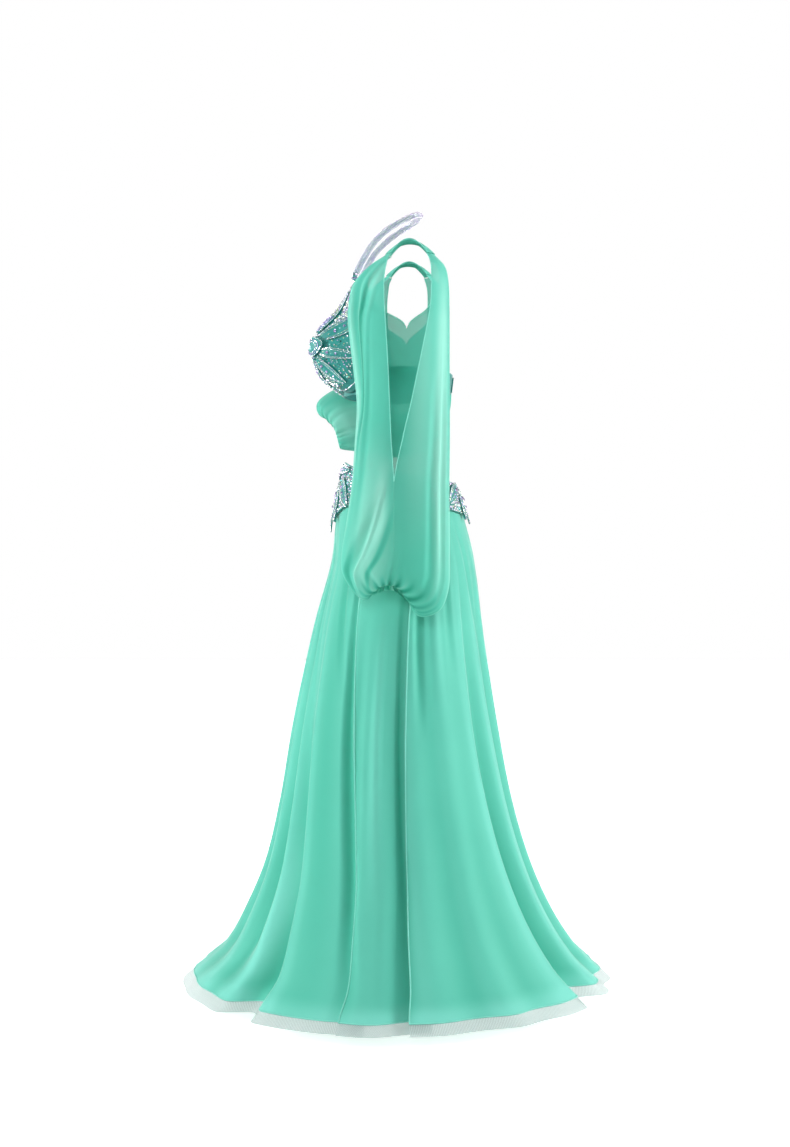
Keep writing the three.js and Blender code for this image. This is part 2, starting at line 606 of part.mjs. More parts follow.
/** Front and back of a sleeve, its shoulder roll and its cuff. */
function addSleeve(side, rows, mirrored) {
  const last = rows.length - 1;
  const stations = rows.map((_, i) => i);
  const numbered = rows.map((row, i) => ({ ...row, i }));
  const at = (station, name) => read(numbered, 'i', station, name);
  const seam = (station, name) => THREE.MathUtils.radToDeg((SEAM * 0.75) / at(station, name));
  const front = (station, u) => {
    const from = Math.min(at(station, 'holeFore'), 180) - seam(station, 'fore');
    const to = Math.max(at(station, 'slitFore'), 0) + seam(station, 'fore');
    return sleevePoint(rows, station, -mix(from, to, u));
  };
  const back = (station, u) => {
    const from = Math.max(at(station, 'slitAft'), 0) + seam(station, 'aft');
    const to = Math.min(at(station, 'holeAft'), 180) - seam(station, 'aft');
    return sleevePoint(rows, station, mix(from, to, u));
  };
  const panel = (place) => stations.map((row) => steps(SLEEVE_COLUMNS).map((u) => place(row, u)));
  add(`sleeve_front_${side}`, wall(panel(front), CHIFFON), 'chiffon', mirrored);
  add(`sleeve_back_${side}`, wall(panel(back), CHIFFON), 'chiffon', mirrored);
  const roll = gridOf(9, 6, (v, u) => {
    const share = mix(0.004, 0.996, v);
    const across = back(0, u).lerp(front(0, 1 - u), share);
    const pleat = ROLL.pleat * Math.cos(2 * ROLL.pleats * Math.PI * u) * bump(2 * share - 1);
    across.z += ROLL.arch * Math.sin(Math.PI * share) ** 0.8 + pleat;
    return across;
  });
  add(`shoulder_roll_${side}`, wall(roll, CHIFFON), 'chiffon', mirrored);
  const cuffRow = (v) =>
    steps(CUFF_SIDES - 1).map((u) => {
      const turn = (u * (CUFF_SIDES - 1) * 360) / CUFF_SIDES;
      const edge = sleevePoint(rows, last, turn);
      const bend = rad(at(last, 'bend'));
      const rise = mix(CUFF_HEIGHT, 2 * SEAM, v);
      return edge.add(new THREE.Vector3(0, Math.sin(bend) * rise, Math.cos(bend) * rise));
    });
  const cuff = wall([cuffRow(0), cuffRow(0.5), cuffRow(1)], SATIN, true);
  add(`cuff_${side}`, cuff, 'chiffon', mirrored);
}

addSkirt();
addBelt();
addBra();
addHalter();
addSleeve('left', LEFT_SLEEVE, false);
addSleeve('right', RIGHT_SLEEVE, true);

export default costume;
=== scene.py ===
"""Looks of a two-piece belly dance costume in its worn form: cloth, braid, satin and crystals.

Tables and surfaces are in millimetres, with the left side at +X, and meshes are made in metres.
"""

import math

import bpy
import numpy as np
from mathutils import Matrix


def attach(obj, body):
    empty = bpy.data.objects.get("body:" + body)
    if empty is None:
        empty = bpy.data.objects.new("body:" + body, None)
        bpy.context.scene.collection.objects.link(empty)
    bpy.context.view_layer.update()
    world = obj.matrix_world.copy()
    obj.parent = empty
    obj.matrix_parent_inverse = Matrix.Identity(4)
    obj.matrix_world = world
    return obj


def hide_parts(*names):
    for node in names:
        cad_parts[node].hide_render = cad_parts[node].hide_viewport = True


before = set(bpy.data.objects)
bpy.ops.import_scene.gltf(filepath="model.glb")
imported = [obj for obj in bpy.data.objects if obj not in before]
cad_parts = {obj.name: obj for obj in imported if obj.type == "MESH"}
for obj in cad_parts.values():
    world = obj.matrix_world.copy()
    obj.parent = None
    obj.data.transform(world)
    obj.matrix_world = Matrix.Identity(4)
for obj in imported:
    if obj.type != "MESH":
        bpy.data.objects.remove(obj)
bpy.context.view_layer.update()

# ---------- Sizes ----------
# Walls of cloth, and the room left at a seam.
CHIFFON, SATIN, CUP_WALL, GORE_WALL, CUFF_WALL = 1.2, 2.0, 3.0, 2.4, 1.6
SEAM = 0.4
# Heights of the skirt's panels, and how their hems and the net along them stand out.
PANEL_TOP, CLOTH_HEM, BRAID_HEM = -62.0, -908.0, -925.0
HEM_KICK, HEM_KICK_HEIGHT = 3.0, 34.0
BRAID_FLARE, NET_LIFT, NET_TUCK = 5.0, 2.0, 1.5
# A side panel stands over the front one, more so lower down, and slopes across its width to
# lie under the back one, which it reaches behind by the side tuck in degrees.
LAP_TOP, LAP_LOW, LAP_GROWS, LAP_SLOPE = 2.0, 7.0, (110, 320), (0.3, 0.85)
SIDE_TUCK, HEM_TUCK, TUCK_FROM = 6.0, 12.0, 300
VALLEYS_FROM, VALLEY_GROWTH, VALLEYS_SPREAD = -130.0, 1.4, 0.8
# Belt, bra and halter: ends in degrees, and lengths.
BELT_LIFT, HIP_RADIUS = 2.6, 140.0
BELT_ENDS = {"front": (-89.9, 89.9), "back": (90.1, 269.9)}
APPLIQUE_SEAT, APPLIQUE, APPLIQUE_CROWN = 1.1, 2.0, 1.2
CUP_CENTRE_X, CUP_APEX_Z = 76.0, 199.0
CUP_REACH = {"inward": 66.0, "outward": 60.0, "up": 113.0, "down": 80.0}
CUP_HEIGHT, CUP_RIM_LIFT, CUP_TOP_NARROWING = 55.0, 8.8, 0.38
CUP_POINT_REACH, CUP_POINT_POWER = 0.5, 3.2
CUP_RIM = 0.95  # share of the cup's reach where its row of rim stones runs
BAND_ENDS = (0.15, 179.85)
GORE_TURN, GORE_TOP, GORE_FOOT = 5, 212, 124
HOOK_TURN, HOOK_TOP, HOOK_FOOT = 5, 151, 125
ROPE_CORE, ROPE_LANES, ROPE_GAP, ROPE_BEAD = 5.0, 14, 2.2, 2.1
LINK_CENTRE, LINK_HALF = [75.5, -76, 322.25], [6, 4, 9.6]
# Sleeves: the sections where the slit and the armhole close, and the depth of the gathers.
SLIT_FOOT, HOLE_FOOT, PINCH_DEEP = 8.0, 3.9, 11.0
ROLL_RISE, CUFF_HEIGHT = 22.0, 13.0
SKIRT_EDGE, SLEEVE_EDGE, SEAM_EDGE = 1.1, 0.8, 0.5  # radii of rolled edges and of a sewn seam


def table(columns, rows):
    """Rows of numbers as a column of values for each name."""
    return dict(zip(columns.split(), np.array(rows, float).T))


SKIRT = table("z front back half", [
    [0, -91, 91, 120], [-60, -104, 106, 144], [-104, -112, 120, 157], [-176, -119, 138, 173],
    [-279, -146, 151, 192], [-349, -162, 160, 208], [-475, -189, 180, 240],
    [-606, -213, 206, 276], [-711, -238, 237, 308], [-795, -273, 274, 339],
    [-860, -310, 315, 367], [-900, -354, 352, 386], [-925, -378, 375, 402]])
# Valleys between the flutes, in degrees from centre front towards the left, and the share of
# its depth that each one keeps at the hem.
SKIRT_VALLEYS = table("top hem wide deep keeps", [
    [-6, -9, 8, 30, 0.2], [4, 12, 7, 26, 0.1], [15, 29, 7.5, 34, 0.12], [24, 45, 7.5, 46, 1],
    [108, 112, 13, 12, 1], [122, 130, 10, 9, 1], [135, 154, 8, 44, 1], [155, 171, 7, 32, 0.4],
    [178, 187, 8, 30, 0.15], [203, 203, 9, 40, 1], [221, 219, 8, 30, 0.5],
    [238, 235, 9, 22, 0.3], [252, 250, 11, 11, 1], [312, 304, 7.5, 36, 1],
    [328, 320, 8.5, 44, 0.3], [342, 336, 8, 32, 0.15]])
# Soft creases on the skirt, troughs with a positive depth and ridges with a negative one; troughs
# also get painted shade and ridges painted highlight.
SKIRT_CREASES = table("top low wide deep start end", [
    [69, 73, 4.5, 3, -240, -860], [80, 81, 4.2, -3.4, -220, -760],
    [92, 93, 3.4, 6.5, -160, -840], [102, 104, 4.6, 5, -150, -480],
    [112, 117, 5, -2.6, -100, -460], [121, 127, 4.6, 3, -90, -380],
    [131, 141, 4.4, -2.6, -90, -520], [143, 157, 4.6, 3.4, -90, -340],
    [160, 172, 5, -2.8, -110, -600], [170, 181, 4.4, 3, -90, -320],
    [190, 195, 4.6, 3.4, -90, -460], [199, 201, 4.2, -2.8, -110, -620],
    [214, 212, 4.6, 3.2, -90, -360], [231, 228, 4.4, -2.6, -110, -480],
    [246, 244, 4.8, 3.6, -110, -520], [258, 257, 3.6, 3.2, -130, -360],
    [270, 268, 4.8, 4.4, -180, -760], [284, 283, 4.4, -3, -240, -820],
    [296, 293, 4.4, -2.8, -110, -520], [304, 299, 4.2, 3.2, -90, -360],
    [320, 313, 4.6, -3.2, -100, -600], [336, 329, 4.6, 3.4, -90, -420],
    [350, 346, 4.6, 3, -90, -340], [0, 2, 4.4, -3, -100, -600], [11, 22, 4.4, 3.4, -90, -400],
    [23, 40, 4.4, -3.6, -90, -700], [36, 58, 4.6, 3.2, -100, -420],
    [55, 78, 4.6, 11, -120, -1000]])
# Broad areas of painted shade (+) and painted highlight (-) on the skirt.
SKIRT_PAINTED_LIGHT = table("top low wide deep start end", [
    [38, 66, 15, 0.85, 0, -1100], [90, 92, 6, 0.6, -400, -1100], [38, 38, 7, -1, -600, -880],
    [120, 132, 14, 0.35, -500, -1000], [20, 20, 8, 0.45, -560, -860],
    [322, 296, 15, 0.75, 0, -1100], [268, 268, 6, 0.5, -400, -1100],
    [228, 218, 14, 0.4, -400, -1000], [186, 188, 12, -0.4, -400, -900]])
EDGES = table("z front side back", [
    [-62, 59.7, 60, 96], [-180, 58.8, 60.6, 96.4], [-250, 58.6, 61.4, 96.5],
    [-300, 63, 63.4, 96.2], [-420, 70, 67.4, 95.6], [-550, 74, 70.6, 95], [-700, 78, 73.6, 94],
    [-800, 80, 74.4, 93.5], [-925, 82, 75.4, 93]])
BELT = table("turn top bottom", [
    [0, 0, -104], [14, -2, -98], [30, -8, -84], [55, -16, -78], [90, -24, -80], [125, -32, -84],
    [155, -38, -92], [180, -41, -98]])
RIBS = table("z front back half", [
    [60, -93, 88, 122], [115, -95, 92, 129], [200, -99, 100, 139], [300, -84, 96, 150],
    [340, -70, 92, 155]])
BAND = table("turn low high", [
    [0, 116, 134], [40, 115, 136], [80, 114, 158], [115, 116, 160], [180, 122, 154]])


def sleeve_table(sections, slit, drop):
    """Sections of a sleeve down the arm, counted in column i.

    The first ones have an open slit and armhole, and the ones before the last hang low.
    """
    columns = (
        "i x y z bend out fore inn aft slit_fore slit_aft hole_fore hole_aft "
        "drop_out drop_fore drop_in drop_aft")
    slit = slit + [[0, 0, 180, 180]] * (len(sections) - len(slit))
    drop = [[0] * 4] * (len(sections) - len(drop) - 1) + drop + [[0] * 4]
    rows = enumerate(zip(sections, slit, drop))
    return table(columns, [[i, *a, *b, *c] for i, (a, b, c) in rows])


LEFT_SLEEVE = sleeve_table([
    [128, 20, 353, 0, 36, 42, 28, 44], [138, 20, 331, 0, 44, 72, 30, 62],
    [146, 18, 300, 0, 58, 96, 26, 70], [154, 17, 260, 0, 60, 103, 20, 72],
    [160, 15, 226, 0, 62, 101, 21, 74], [166, 10, 150, 0, 61, 87, 29.8, 79],
    [174, 4, 90, 0, 58, 75, 28, 85], [180, 0, 30, 0, 56, 74, 24, 89],
    [190, -7, -44, 0, 52, 72, 15, 95], [201, -7, -110, 0, 49, 81, 24, 95],
    [213, -8, -165, 0, 47, 88, 35.5, 96], [221, -11, -197, 0, 40, 82, 43, 97],
    [225, -14, -220, 0, 31, 54, 37, 84], [226, -16, -224, 0, 27, 35, 27, 50],
    [226, -17, -214, 0, 21.5, 25.5, 21.5, 25.5]],
    [[50, 43, 130, 130], [34, 36, 126, 126], [26, 34, 132, 130], [23, 32, 152, 152],
    [21, 28, 180, 180], [18, 18, 180, 180], [14, 12, 180, 180], [9, 5, 180, 180]],
    [[-4, 2, 6, 24], [-8, 16, 4, 40], [-8, 14, 0, 42]])
RIGHT_SLEEVE = sleeve_table([
    [128, 20, 353, 0, 36, 42, 28, 44], [138, 20, 331, 0, 44, 70, 30, 62],
    [148, 18, 300, 0, 58, 90, 28, 70], [160, 17, 262, 0, 60, 94, 26, 72],
    [176, 16, 228, 0, 58, 92, 36, 74], [198, 18, 186, 4, 54, 86, 61, 78],
    [224, 20, 150, 8, 52, 80, 89.8, 84], [248, 12, 122, 30, 50, 74, 84, 90],
    [262, -8, 104, 50, 50, 70, 70, 92], [266, -36, 94, 62, 50, 72, 60, 84],
    [264, -66, 87, 70, 52, 77, 52, 66], [258, -92, 81, 73, 48, 77, 46, 50],
    [253, -108, 73, 74, 38, 66, 36, 38], [251, -112, 69, 74, 29, 44, 28, 31],
    [250, -116, 66, 74, 21.5, 25.5, 21.5, 25.5]],
    [[50, 43, 130, 130], [34, 36, 126, 126], [26, 34, 132, 130], [23, 32, 152, 152],
    [21, 28, 180, 180], [18, 20, 180, 180], [14, 14, 180, 180], [10, 8, 180, 180]],
    [[8, 12, 6, 6], [10, 32, 10, 10], [8, 30, 9, 10]])
# Folds, creases and painted light: first and last are angles, start and end are sections down the
# arm. Folds and creases also get painted shade in their troughs and painted highlight on their
# ridges.
SLEEVE_FOLDS = table("first last wide deep start end", [
    [-62, -68, 15, 10, 0.5, 7], [-8, -78, 18, 8, 8, 12], [44, 40, 9, 5, 5, 12.5],
    [62, 58, 8, 5, 4, 12.5], [112, 118, 14, 6, 3, 12], [-128, -122, 16, 6, 4, 12]])
SLEEVE_CREASES = table("first last wide deep start end", [
    [-42, -54, 10, 2.4, 2, 10], [-84, -80, 9, 3, 1, 8], [-104, -108, 8, -2, 3, 10],
    [-36, -70, 5, 2.8, 0.4, 8], [-28, -61, 6, -2, 0.4, 8], [104, 100, 9, 3, 4, 11],
    [-12, -64, 5, -4.4, 8, 12.2], [-46, -84, 9, 3, 9.2, 12.2], [-150, -146, 9, 2.4, 5, 11],
    [146, 150, 9, 2.4, 5, 11]])
# Broad areas of painted highlight (-) and painted shade (+) on a sleeve.
SLEEVE_PAINTED_LIGHT = table("first last wide deep start end", [
    [-30, -36, 44, -0.9, 6.4, 13.6], [-78, -84, 17, -1.2, 0.4, 10.6],
    [58, 56, 22, -1.5, 0.3, 12.8], [22, 26, 26, -0.55, 1, 10.4], [0, -48, 6, 1.5, 8.6, 12.6],
    [-40, -73, 6, 1, 0.4, 8], [-14, -22, 14, -0.9, 7.4, 9.8], [86, 86, 18, -1, 6.5, 12.6],
    [-110, -110, 24, -0.5, 8, 12.6], [130, 130, 22, -0.4, 7, 12.6], [180, 180, 50, -0.8, 8, 14]])
GATHER_COUNT, GATHER_DEEP, GATHER_FROM = 6, 2.2, 11

# The middle of the halter rope, from the left link to behind the neck.
ROPE_ROUTE = np.array([
    [73, -73, 331.5], [69, -56, 364], [65, -39, 389], [59, -14, 412], [50, 12, 428], [32, 32, 439],
    [0, 40, 443]], float)
# Leaves from base to tip, with a width in mm: on a cup in shares of its reach, and on the belt in
# mm round from the centre front or back, and mm up. Bosses have a centre and a radius.
CUP_LEAVES = [
    [0, 0.22, 0.02, 0.86, 24], [0.24, 0.13, 0.78, 0.46, 24], [0.25, -0.1, 0.9, -0.28, 22],
    [0.1, -0.26, 0.38, -0.8, 22], [-0.14, -0.24, -0.44, -0.74, 22], [-0.25, 0, -0.88, 0.04, 25]]
CUP_BOSS = (0, -0.02, 19)
FRONT_LEAVES = [
    [0, -36, 0, -126, 36], [25, -38, 44, -108, 28], [-25, -38, -44, -108, 28],
    [50, -34, 94, -82, 27], [-50, -34, -94, -82, 27], [20, -14, 82, -17, 15],
    [-20, -14, -82, -17, 15]]
BACK_LEAVES = [
    [0, -52, 0, -112, 32], [24, -52, 46, -104, 26], [-24, -52, -46, -104, 26],
    [46, -44, 100, -76, 26], [-46, -44, -100, -76, 26]]
BELT_BOSSES = [[0, -18, 15], [92, -52, 15], [-92, -52, 15]]
SIDES = (("left", False), ("right", True))

# Parts of the range of tints that a row of stones is picked from.
ANY, SILVER, LILAC, STRAW, AQUA = (0, 1), (0, 0.36), (0.3, 0.48), (0.4, 0.62), (0.55, 0.8)
PEARLS, COOL = (0, 0.48), (0, 0.56)
# Rings of a cut stone from its foot to its flat top: reach and height in shares of its width.
STONE_RINGS = ((0.5, 0), (0.47, 0.16), (0.26, 0.42))
STONE_SINK = 0.1  # how deep a stone on an applique sits in it
# Lanes of beads across a leaf, and the share of its half width that a stone between them takes.
EDGE_LANES, INNER_LANES, STONE_ROOM = (0.04, 0.96), (0.19, 0.81), 0.62
MIDDLE_STONES = [[0.28, 7.2], [0.5, 5.6], [0.7, 3.8]]  # place from base to tip, and width
SMALL_STONES = [0.14, 0.39, 0.6, 0.8, 0.88]
# Rings of stones on a boss (share of its radius, width, tints) and on a halter link (share of its
# height, number, width), and loose stones on a cup (lowest, highest, gaps across and up, tints).
BOSS_RINGS = ((0.95, 2.2, SILVER), (0.74, 2.8, LILAC), (0.56, 2, SILVER), (0, 9, AQUA))
LINK_RINGS = ((0.16, 5, 3.4), (0.36, 7, 4.6), (0.58, 7, 5), (0.8, 5, 3.8))
CUP_GROUND = ((-0.94, 0.14, 0.062, 0.044, ANY), (0.14, 0.94, 0.037, 0.02, COOL))
# The camera's frame in pixels, and each lamp's place, aim, size and power.
FRAME_HEIGHT, FLOOR_Z = 1147, -0.95
LAMPS = (
    ("front_side", (0.4, -3.1, 0.7), (0, 0, -0.2), 1.2, 90),
    ("back_side", (0.1, 3.1, 0.6), (0, 0, -0.3), 1.2, 100),
    ("over_camera", (3.3, -0.4, 1.0), (0, 0, -0.2), 1.2, 42),
    ("far_side", (-3.3, 0.2, 1.2), (0, 0, -0.2), 1.6, 24))


# ---------- Surfaces ----------
def read(rows, key, at, name):
    """Value of one column at a place along another, on a smooth curve through the rows."""
    x, y = rows[key], rows[name]
    if x[0] > x[-1]:
        x, y = x[::-1], y[::-1]
    near = np.r_[0, np.arange(len(x)), len(x) - 1]
    slope = (y[near[2:]] - y[near[:-2]]) / (x[near[2:]] - x[near[:-2]])
    i = np.clip(np.searchsorted(x, at, side="right") - 1, 0, len(x) - 2)
    span = x[i + 1] - x[i]
    t = np.clip((at - x[i]) / span, 0, 1)
    return (
        (2 * t**3 - 3 * t**2 + 1) * y[i]
        + (t**3 - 2 * t**2 + t) * slope[i] * span
        + (3 * t**2 - 2 * t**3) * y[i + 1]
        + (t**3 - t**2) * slope[i + 1] * span
    )


def bump(x):
    return np.where(np.abs(x) < 1, np.cos(np.clip(x, -1, 1) * np.pi / 2) ** 2, 0)


def ramp(x, low, high):
    t = np.clip((x - low) / (high - low), 0, 1)
    return t * t * (3 - 2 * t)


def mix(a, b, t):
    return a + (b - a) * t


def stacked(*parts):
    return np.stack(np.broadcast_arrays(*parts), -1)


def unit(vectors, least=1e-9):
    """Directions of vectors, each of length 1."""
    return vectors / np.maximum(np.linalg.norm(vectors, axis=-1, keepdims=True), least)


def shares(rows, columns):
    """Shares from 0 to 1, down and across, at the points of a grid of so many rows and columns."""
    return np.meshgrid(np.linspace(0, 1, rows + 1), np.linspace(0, 1, columns + 1), indexing="ij")


def apart(turn, other):
    return (turn - other + 180) % 360 - 180


def ring_point(rows, turn, z, out=0.0):
    """Point on an ellipse of the table's outline, moved out square to it."""
    front, back, half = (read(rows, "z", z, name) for name in ("front", "back", "half"))
    deep = (back - front) / 2
    s, c = np.sin(np.radians(turn)), np.cos(np.radians(turn))
    square = np.hypot(s / half, c / deep)
    x = half * s + out * s / half / square
    y = (front + back) / 2 - deep * c - out * c / deep / square
    return stacked(x, y, z)


def crease_depth(creases, turn, place, soft):
    """Depth of every crease at an angle and a place along it: each one fades at both ends."""
    deep = 0
    for first, last, wide, most, start, end in zip(*creases.values()):
        t = (place - start) / (end - start)
        fade = bump(np.clip(2 * t - 1, -1, 1)) ** soft
        deep = deep + most * fade * bump(apart(turn, mix(first, last, np.clip(t, 0, 1))) / wide)
    return deep


def valleys(turn, z):
    """For each valley: share of the way down, half widths from its middle, depth, share kept."""
    down = np.clip((z - VALLEYS_FROM) / (CLOTH_HEM - VALLEYS_FROM), 0, 1)
    for top, hem, wide, most, keeps in zip(*SKIRT_VALLEYS.values()):
        yield down, apart(turn, mix(top, hem, down)) / wide, most, keeps


def valley_depth(turn, z):
    deep = crease_depth(SKIRT_CREASES, turn, z, 0.6)
    for down, away, most, keeps in valleys(turn, z):
        kept = mix(1, keeps, ramp(down, VALLEYS_SPREAD, 1))
        deep = deep + most * down**VALLEY_GROWTH * kept * bump(away)
    return deep


def skirt_painted_light(turn, z):
    """How much painted shade (+) or painted highlight (-) the skirt's colour takes: shade in
    creases, valleys and broad patches, highlight on ridges, beside valleys and along the hem.
    """
    painted_light = crease_depth(SKIRT_CREASES, turn, z, 0.6) / 8 + crease_depth(SKIRT_PAINTED_LIGHT, turn, z, 0.4)
    for down, away, most, _ in valleys(turn, z):
        # Painted shade down the middle of each valley and painted highlight beside it.
        inside = bump(away * 1.1) ** 1.4 - 0.5 * bump((np.abs(away) - 1.15) / 0.5)
        painted_light = painted_light + down**0.6 * (most / 46) ** 0.5 * inside
    # The cloth just above the hem is made paler: a painted highlight.
    return np.clip(painted_light - 0.9 * ramp(z, CLOTH_HEM + 30, CLOTH_HEM + 4), -1, 1)


def skirt_point(turn, z, out=0.0):
    return ring_point(SKIRT, turn, z, out - valley_depth(turn, z))


def belt_height(turn, share):
    """Height on the belt at an angle, from its top edge (0) to its lower one (1)."""
    fold = np.abs(apart(turn, 0))
    return mix(read(BELT, "turn", fold, "top"), read(BELT, "turn", fold, "bottom"), share)


def belt_point(turn, z, out=0.0):
    return ring_point(SKIRT, turn, z, BELT_LIFT + SATIN + out)


def cup_rise(s, up):
    """Share of the cup's height at a share of its reach: pointed above and round below."""
    edge = 1 / (1 + CUP_POINT_REACH**-CUP_POINT_POWER)
    above = 1 / (1 + (s / CUP_POINT_REACH) ** CUP_POINT_POWER) - edge * s
    below = np.maximum(1 - s * s, 0) ** 0.75
    return mix(below, above, ramp(up, -0.35, 0.45))


def cup_point(u, v):
    """Point on the left cup: u and v run from -1 to 1 inside a circle, across and up."""
    s = np.minimum(np.hypot(u, v), 1)
    up = np.where(s > 0, v / np.maximum(s, 1e-9), 0)
    narrow = 1 - CUP_TOP_NARROWING * np.maximum(up, 0) * s
    x = CUP_CENTRE_X + u * np.where(u > 0, CUP_REACH["outward"], CUP_REACH["inward"]) * narrow
    z = CUP_APEX_Z + v * np.where(v > 0, CUP_REACH["up"], CUP_REACH["down"])
    turn = np.degrees(np.arcsin(x / read(RIBS, "z", z, "half")))
    y = ring_point(RIBS, turn, z)[..., 1]
    return stacked(x, y - CUP_RIM_LIFT - CUP_HEIGHT * cup_rise(s, up), z)


def cup_rim(t):
    """Place of the row of stones round a cup, at a share of its run."""
    return CUP_RIM * np.sin(2 * np.pi * t), CUP_RIM * np.cos(2 * np.pi * t)


def uneven(seed, count, share=1.0):
    """Gathers round a ring as a function of the angle, each with its own width and height."""
    rng = np.random.default_rng(seed)
    edges = np.r_[0, np.cumsum(rng.uniform(0.55, 1.45, count))]
    edges *= 360 / edges[-1]
    height = rng.uniform(0.45, 1.0, count)

    def at(turn):
        place = np.interp(turn % 360, edges, np.arange(count + 1))
        i = np.minimum(place.astype(int), count - 1)
        return 1 - share * (1 - height[i] * (0.5 - 0.5 * np.cos(2 * np.pi * (place - i))) ** 0.8)

    return at


def gather_reach(station, turn, last):
    """Strength of the gathers: highest on the outer and inner arm, and softer at the cuff."""
    flank = np.cos(np.radians(turn)) ** 2
    start = last - 2.2 - flank * (1.4 + 1.3 * np.sin(np.radians(9 * turn + 40)))
    softer = 1 - 0.6 * ramp(station, last - 0.9, last)
    return mix(0.15, 1, flank) * ramp(station, start, last - 1.0) * softer


def sleeve_painted_light(rows, station, turn, gathers):
    """How much painted shade (+) or painted highlight (-) a sleeve's colour takes: shade in the
    troughs of its folds, creases and gathers, highlight on their ridges, and both in broad patches.
    """
    last = rows["i"][-1]
    painted_light = crease_depth(SLEEVE_FOLDS, turn, station, 0.5) / 24
    painted_light = painted_light + crease_depth(SLEEVE_CREASES, turn, station, 0.5) / 6
    painted_light = painted_light + crease_depth(SLEEVE_PAINTED_LIGHT, turn, station, 0.7)
    # Painted shade in the troughs of the gathers near the cuff, and painted highlight on their
    # crests.
    pinch = ramp(station, last - 3.0, last - 1.2) * (2.2 * (1 - gathers(turn)) ** 1.5 - 0.5)
    return np.clip(painted_light + pinch * mix(0.2, 1, np.cos(np.radians(turn)) ** 2), -1, 1)


def sleeve_point(rows, station, turn, gathers):
    """Point on a sleeve: station counts down the arm, turn is 0 outside and + towards the back."""
    def at(name):
        return read(rows, "i", station, name)

    last = rows["i"][-1]
    c, s = np.cos(np.radians(turn)), np.sin(np.radians(turn))
    across = np.where(c > 0, at("out"), at("inn"))
    ahead = np.where(s > 0, at("aft"), at("fore"))
    drop = c * c * np.where(c > 0, at("drop_out"), at("drop_in"))
    drop = drop + s * s * np.where(s > 0, at("drop_aft"), at("drop_fore"))
    square = np.hypot(c / across, s / ahead)
    waves = GATHER_DEEP * ramp(station, GATHER_FROM, last - 1)
    out = waves * np.cos(GATHER_COUNT * np.radians(turn))
    for creases in (SLEEVE_FOLDS, SLEEVE_CREASES):
        out = out - crease_depth(creases, turn, station, 0.5)
    out = out - PINCH_DEEP * gather_reach(station, turn, last) * (1 - gathers(turn))
    across_now = across * c + out * c / across / square
    back_now = ahead * s + out * s / ahead / square
    bend = np.radians(at("bend"))
    return stacked(
        at("x") + across_now,
        at("y") + back_now * np.cos(bend) - drop * np.sin(bend),
        at("z") - back_now * np.sin(bend) - drop * np.cos(bend))


# ---------- Meshes ----------
def outward(grid, ring=False):
    """Outward direction at each point of a grid whose rows run down and columns turn left."""
    if ring:
        across = np.roll(grid, -1, 1) - np.roll(grid, 1, 1)
    else:
        across = np.gradient(grid, axis=1)
    return unit(np.cross(np.gradient(grid, axis=0), across))


def quads(rows, columns, ring, start=0, flip=False):
    """Four corners for each face of a grid of points."""
    across = columns if ring else columns - 1
    i, j = np.meshgrid(np.arange(rows - 1), np.arange(across), indexing="ij")
    k = (j + 1) % columns
    corners = [i * columns + j, (i + 1) * columns + j, (i + 1) * columns + k, i * columns + k]
    faces = np.stack(corners, -1).reshape(-1, 4) + start
    return faces[:, ::-1] if flip else faces


def make(name, points, faces, material, slot, replaces=None, mirrored=False, smooth=True,
         uv=None, **masks):
    """An object of these faces, in metres, that rides with the costume."""
    points = np.asarray(points, float).reshape(-1, 3) * 0.001
    if mirrored:
        points = points * [-1, 1, 1]
        faces = [list(face)[::-1] for face in faces]
    mesh = bpy.data.meshes.new(name)
    mesh.from_pydata(points.tolist(), [], [list(map(int, face)) for face in faces])
    if uv is not None:
        layer = mesh.uv_layers.new(name="cloth")
        corner = np.zeros(len(mesh.loops), np.int32)
        mesh.loops.foreach_get("vertex_index", corner)
        layer.data.foreach_set("uv", np.asarray(uv, np.float32).reshape(-1, 2)[corner].ravel())
    for label, values in masks.items():
        mask = mesh.attributes.new(label, "FLOAT", "POINT")
        mask.data.foreach_set("value", np.asarray(values, np.float32).ravel())
    mesh.polygons.foreach_set("use_smooth", np.full(len(mesh.polygons), smooth))
    mesh.materials.append(material)
    mesh.update()
    obj = bpy.data.objects.new(name, mesh)
    bpy.context.scene.collection.objects.link(obj)
    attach(obj, "root")
    if replaces:
        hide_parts(replaces)
    return obj


def lengths(grid, axis):
    """Running length along one axis of a grid."""
    step = np.linalg.norm(np.diff(grid, axis=axis), axis=-1)
    return np.concatenate([np.zeros_like(step.take([0], axis)), np.cumsum(step, axis)], axis)


def cloth_uv(grid):
    across = lengths(grid, 1)
    return np.stack([across - across[:, -1:] / 2, -lengths(grid, 0)], -1) * 0.001


def cloth(name, grid, material, slot, replaces, mirrored=False, **masks):
    """A sheet of cloth through a grid of points."""
    faces = quads(*grid.shape[:2], False)
    return make(name, grid, faces, material, slot, replaces, mirrored, uv=cloth_uv(grid), **masks)


